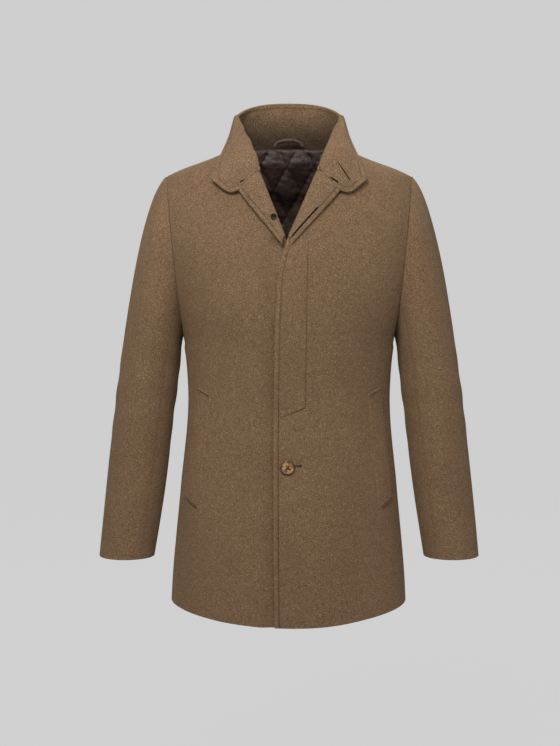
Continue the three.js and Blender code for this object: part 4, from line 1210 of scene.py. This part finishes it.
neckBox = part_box("neck_button")
neckCentre = ((neckBox[0][0] + neckBox[1][0]) / 2, neckBox[1][1] - button["neckOut"],
              (neckBox[0][2] + neckBox[1][2]) / 2)
outline = [(r * button["neckRadius"], h * button["neckThick"]) for r, h in button["outline"]]
smoothPiece("neckButton", turnedDisc(outline, neckCentre, 48), "darkHorn", "torso",
            ["neck_button"])


stitching = {"length": 0.0026, "gap": 0.0011, "edgeGap": 0.0012, "radius": 0.00028, "edgeRadius": 0.00024,
             "out": 0.0001, "edgeInset": 0.0079}


# sewn stitches lying in a seam line: short rods with small gaps
def stitchRow(name, places, gap, radius):
    shape = bmesh.new()
    places = np.array(places)
    run = np.concatenate([[0], np.cumsum(np.linalg.norm(np.diff(places, axis=0), axis=1))])
    at = 0.0
    while at + stitching["length"] < run[-1]:
        spots = [at + stitching["length"] * t for t in (0, 0.33, 0.66, 1)]
        rod(shape, [[np.interp(spot, run, places[:, k]) for k in range(3)] for spot in spots], radius, 6)
        at += stitching["length"] + gap
    return smoothPiece(name, shape, "thread", "torso")


def onFront(x, z, out):
    x, z = np.asarray(x, float), np.asarray(z, float)
    return coatPoint(shareAtX(x, z, -1), z, -out, -1)


flyZ = np.linspace(facing["topZ"], frontPanel["flyBottom"], 60)
stitchRow("flyStitches", onFront(flyX(flyZ) - 0.0006, flyZ, stitching["out"]), stitching["gap"],
          stitching["radius"])
corner = between(*frontPanel["flyCorner"], np.linspace(0, 1, 20))
stitchRow("flyCornerStitches", onFront(corner[:, 0], corner[:, 1], stitching["out"]), stitching["gap"],
          stitching["radius"])
edgeZ = np.linspace(-0.172, body["hemZ"] + 0.004, 120)
stitchRow("edgeStitches", onFront(frontEdge(edgeZ) + stitching["edgeInset"], edgeZ, stitching["out"]),
          stitching["edgeGap"], stitching["edgeRadius"])

# keyhole buttonhole: stitched lips round a slit, with a round eye at the button's end
buttonhole = {"start": -0.002, "end": 0.0175, "z": -0.5390, "lip": 0.0010, "eye": 0.0019, "eyeOut": 0.002,
              "lipOut": 0.0004, "lipRadius": 0.0006, "slitRadius": 0.0008}
upperLip = between((buttonhole["start"], buttonhole["lip"]), (buttonhole["end"], buttonhole["lip"]),
                   np.linspace(0, 1, 14))
eyeTurns = np.linspace(2.5, -2.5, 12)
eye = np.stack([buttonhole["end"] + buttonhole["eyeOut"] + buttonhole["eye"] * np.cos(eyeTurns),
                buttonhole["eye"] * np.sin(eyeTurns)], 1)
lowerLip = upperLip[::-1] * np.array([1, -1])
lips = bmesh.new()
lipPath = np.concatenate([upperLip, eye, lowerLip])
rod(lips, [onFront(x, buttonhole["z"] + dz, buttonhole["lipOut"]) for x, dz in lipPath],
    buttonhole["lipRadius"])
smoothPiece("buttonholeLips", lips, "thread", "torso")
# the slit is a dark rod: painted shadow in the cut
slit = bmesh.new()
slitX = np.linspace(buttonhole["start"], buttonhole["end"] + buttonhole["eyeOut"], 10)
rod(slit, [onFront(x, buttonhole["z"], stitching["out"]) for x in slitX], buttonhole["slitRadius"])
smoothPiece("buttonholeSlitShadow", slit, "darkHorn", "torso")

# short bars that close the pocket ends
barSize = {"inward": 0.004, "out": 0.0012, "radius": 0.0006}
bars = bmesh.new()
for _, side in sides:
    for pair, inward in ((pocket["top"], -barSize["inward"]), (pocket["bottom"], barSize["inward"])):
        places = between(*pair, np.linspace(0.08, 0.92, 8))
        rod(bars, [onFront(side * x, z + inward, pocket["out"] + barSize["out"]) for x, z in places],
            barSize["radius"])
smoothPiece("pocketBars", bars, "thread", "torso")

# a rolled satin loop, sewn down at both ends
loop = {"halfX": 0.0250, "y": 0.0585, "z": 0.0135, "rise": 0.0128, "high": 0.0036, "deep": 0.0027,
        "twist": 0.09, "ends": np.array([0, 0.004, 0.012, 0.03])}
angle = spread(np.pi, 0.05, loop["ends"], loop["ends"])[:, None]
around = np.linspace(0, 2 * np.pi, 28, endpoint=False)[None, :]
taper = np.sqrt(np.clip(np.minimum(angle, np.pi - angle) / loop["ends"][-1], 0, 1))
size = taper * (1 + loop["twist"] * np.sin(around * 3 + angle * 26))
radial = loop["high"] * np.cos(around) * size
archX, archZ = -loop["halfX"] * np.cos(angle), loop["z"] + loop["rise"] * np.sin(angle) ** 0.85
grid = np.stack([archX - np.cos(angle) * radial, loop["y"] - loop["deep"] * np.sin(around) * size,
                 archZ + np.sin(angle) * radial], -1)
tube = bmesh.new()
rings = [[tube.verts.new(tuple(p)) for p in ring] for ring in grid[1:-1]]
skinRings(tube, rings)
for ring in (rings[0], rings[-1]):
    tube.faces.new(ring)
bmesh.ops.recalc_face_normals(tube, faces=tube.faces)
hangerLoop = smoothPiece("hangerLoop", tube, "satin", "hanger_loop", ["hanger_loop"])


# painted shadow lines on the collar: dark rods for the shade in the buttonhole on the left front, and in the
# gorge seams with their short slots
def onCollar(x, z, out):
    near = np.argsort(np.hypot(collarGrid[..., 0] - x, collarGrid[..., 2] - z).ravel())[:4]
    return (x, collarGrid[..., 1].ravel()[near].min() - collar["half"] - out, z)


def paintedShadowLine(name, places, radius):
    shape = bmesh.new()
    rod(shape, places, radius)
    smoothPiece(name, shape, "shade", "torso")


def collarLine(name, first, last, radius, out=0.0):
    paintedShadowLine(name, [onCollar(x, z, out) for x, z in between(first, last, np.linspace(0, 1, 12))], radius)


collarLine("collarButtonholeShadow", (0.0843, -0.0201), (0.1034, -0.0491), 0.0008)
for label, side in sides:
    collarLine(f"{label}GorgeSeamShadow", (side * 0.0515, -0.0310), (side * 0.0740, -0.0490), 0.0006)
    collarLine(f"{label}GorgeSlotShadow", (side * 0.0688, -0.0443), (side * 0.0835, -0.0530), 0.0012, 0.0001)
# painted shadow in the lapel's fly opening: a dark rod along it
paintedShadowLine("lapelOpeningShadow", lapelOpeningShadow, 0.0017)

for number in (1, 2, 3):
    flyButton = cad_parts[f"fly_button_{number}"]
    flyButton.data.materials.clear()
    flyButton.data.materials.append(finish["darkHorn"])
print("buttons sewn on")


# chest canvases, fly strip and pocket bags lie flat between the cloth and the lining
inner = {"step": 0.006, "half": 0.0004, "canvasX": 0.066, "canvasGap": 0.014, "canvasZ": (-0.298, -0.070),
         "canvasDepth": 0.0042, "bagX": (0.070, 0.160), "bagZ": (-0.650, -0.450), "bagDepth": 0.0048,
         "flyX": (-0.018, 0.028), "flyZ": (-0.450, -0.190), "flyDepth": 0.00405}


def innerSheet(name, node, fromX, toX, heights, depth, look, slotName, flat):
    z = np.linspace(*heights, 80)[:, None]
    x = fromX + (toX - fromX) * np.linspace(0, 1, 60)[None, :]
    rows = bodyPoint(shareAtX(x, z, -1), z, depth, -1)
    grid = resample(rows, inner["step"], seamMarks, seamMarks)
    sewSheet(name, node, grid, inner["half"], look)


for label, side in sides:
    border = armholeX(np.linspace(*inner["canvasZ"], 80)[:, None]) - inner["canvasGap"]
    innerSheet(f"{label}ChestCanvas", f"{label}_chest_canvas", side * inner["canvasX"], side * border,
               inner["canvasZ"], inner["canvasDepth"], "canvas", "ecru_canvas", (0.16, 0.24))
    innerSheet(f"{label}PocketBag", f"{label}_pocket_bag", side * inner["bagX"][0], side * inner["bagX"][1],
               inner["bagZ"], inner["bagDepth"], "satin", "satin_lining", (0.092, 0.205))
innerSheet("flyStrip", "fly_strip", *inner["flyX"], inner["flyZ"], inner["flyDepth"], "facingWool",
           "wool_melange", (0.048, 0.265))

# felt pads at the shoulders, rounded off at their edges
for label in ("left", "right"):
    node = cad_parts[f"{label}_shoulder_pad"]
    shape = bmesh.new()
    shape.from_mesh(node.data)
    shape.transform(node.matrix_world)
    bmesh.ops.remove_doubles(shape, verts=shape.verts, dist=0.00001)
    bmesh.ops.subdivide_edges(shape, edges=shape.edges, cuts=2, use_grid_fill=True)
    for _ in range(4):
        bmesh.ops.smooth_vert(shape, verts=shape.verts, factor=0.5, use_axis_x=True, use_axis_y=True,
                              use_axis_z=True)
    pad = smoothPiece(f"{label}ShoulderPad", shape, "felt", "torso", [f"{label}_shoulder_pad"])
print("interlinings laid in")


room = {"floorZ": -1.25, "floorRadius": 5.2, "wallRadius": 8.0, "wallTop": 6.0, "steps": 128, "glow": 0.50}
shape = bmesh.new()
bend = [(0.0, 0.0)] + [(room["floorRadius"] * t, 0.0) for t in (0.3, 0.6, 1.0)]
curve = room["wallRadius"] - room["floorRadius"]
bend += [(room["floorRadius"] + curve * math.sin(a), curve * (1 - math.cos(a)))
         for a in np.linspace(0.1, 1.5, 14)]
bend.append((room["wallRadius"], room["wallTop"]))
turns = [2 * math.pi * i / room["steps"] for i in range(room["steps"])]
rings = [[shape.verts.new((radius * math.cos(t), radius * math.sin(t), room["floorZ"] + height))
          for t in (turns if radius else [0.0])] for radius, height in bend]
skinRings(shape, rings)
bmesh.ops.recalc_face_normals(shape, faces=shape.faces)
studio = meshObject("studioBowl", shape)
paper = bpy.data.materials.new("studioPaper")
paper.use_nodes = True
paperShader = paper.node_tree.nodes["Principled BSDF"]
paperShader.inputs["Base Color"].default_value = (0.04, 0.04, 0.04, 1)
paperShader.inputs["Roughness"].default_value = 1.0
paperShader.inputs["Specular IOR Level"].default_value = 0.0
paperShader.inputs["Emission Color"].default_value = rgb(205, 205, 205)
seen = addNode(paper.node_tree, "ShaderNodeLightPath").outputs["Is Camera Ray"]
glow = span(paper.node_tree, seen, 0.0, 1.0, room["glow"], 1.0)
paper.node_tree.links.new(glow, paperShader.inputs["Emission Strength"])
studio.data.materials.append(paper)

light = {"world": 0.15,
         "lamps": [("key", (-0.5, -1.75, 1.45), 1.2, 48), ("fill", (1.6, -2.0, 0.9), 1.6, 12),
                   ("top", (0.0, -0.3, 2.2), 2.0, 5), ("back", (0.0, 3.0, 1.5), 2.2, 26)]}
world = bpy.data.worlds.new("studioWorld")
bpy.context.scene.world = world
world.use_nodes = True
world.node_tree.nodes["Background"].inputs["Color"].default_value = (1, 1, 1, 1)
world.node_tree.nodes["Background"].inputs["Strength"].default_value = light["world"]
for name, place, size, power in light["lamps"]:
    lamp = bpy.data.lights.new(name, "AREA")
    lamp.shape = "DISK"
    lamp.size = size
    lamp.energy = power
    holder = bpy.data.objects.new(name, lamp)
    holder.location = place
    holder.rotation_euler = (Vector((0, 0, -0.35)) - Vector(place)).to_track_quat("-Z", "Y").to_euler()
    bpy.context.scene.collection.objects.link(holder)

view = {"place": (-0.016, -3.2, -0.145), "aim": (-0.016, 0, -0.389), "lens": 86.8}
cameraData = bpy.data.cameras.new("camera")
cameraData.lens = view["lens"]
cameraData.sensor_width = 36
cameraData.sensor_fit = "VERTICAL"
cameraData.sensor_height = 36
camera = bpy.data.objects.new("camera", cameraData)
camera.location = view["place"]
camera.rotation_euler = (Vector(view["aim"]) - Vector(view["place"])).to_track_quat("-Z", "Y").to_euler()
bpy.context.scene.collection.objects.link(camera)
bpy.context.scene.camera = camera
bpy.context.scene.view_settings.view_transform = "Standard"
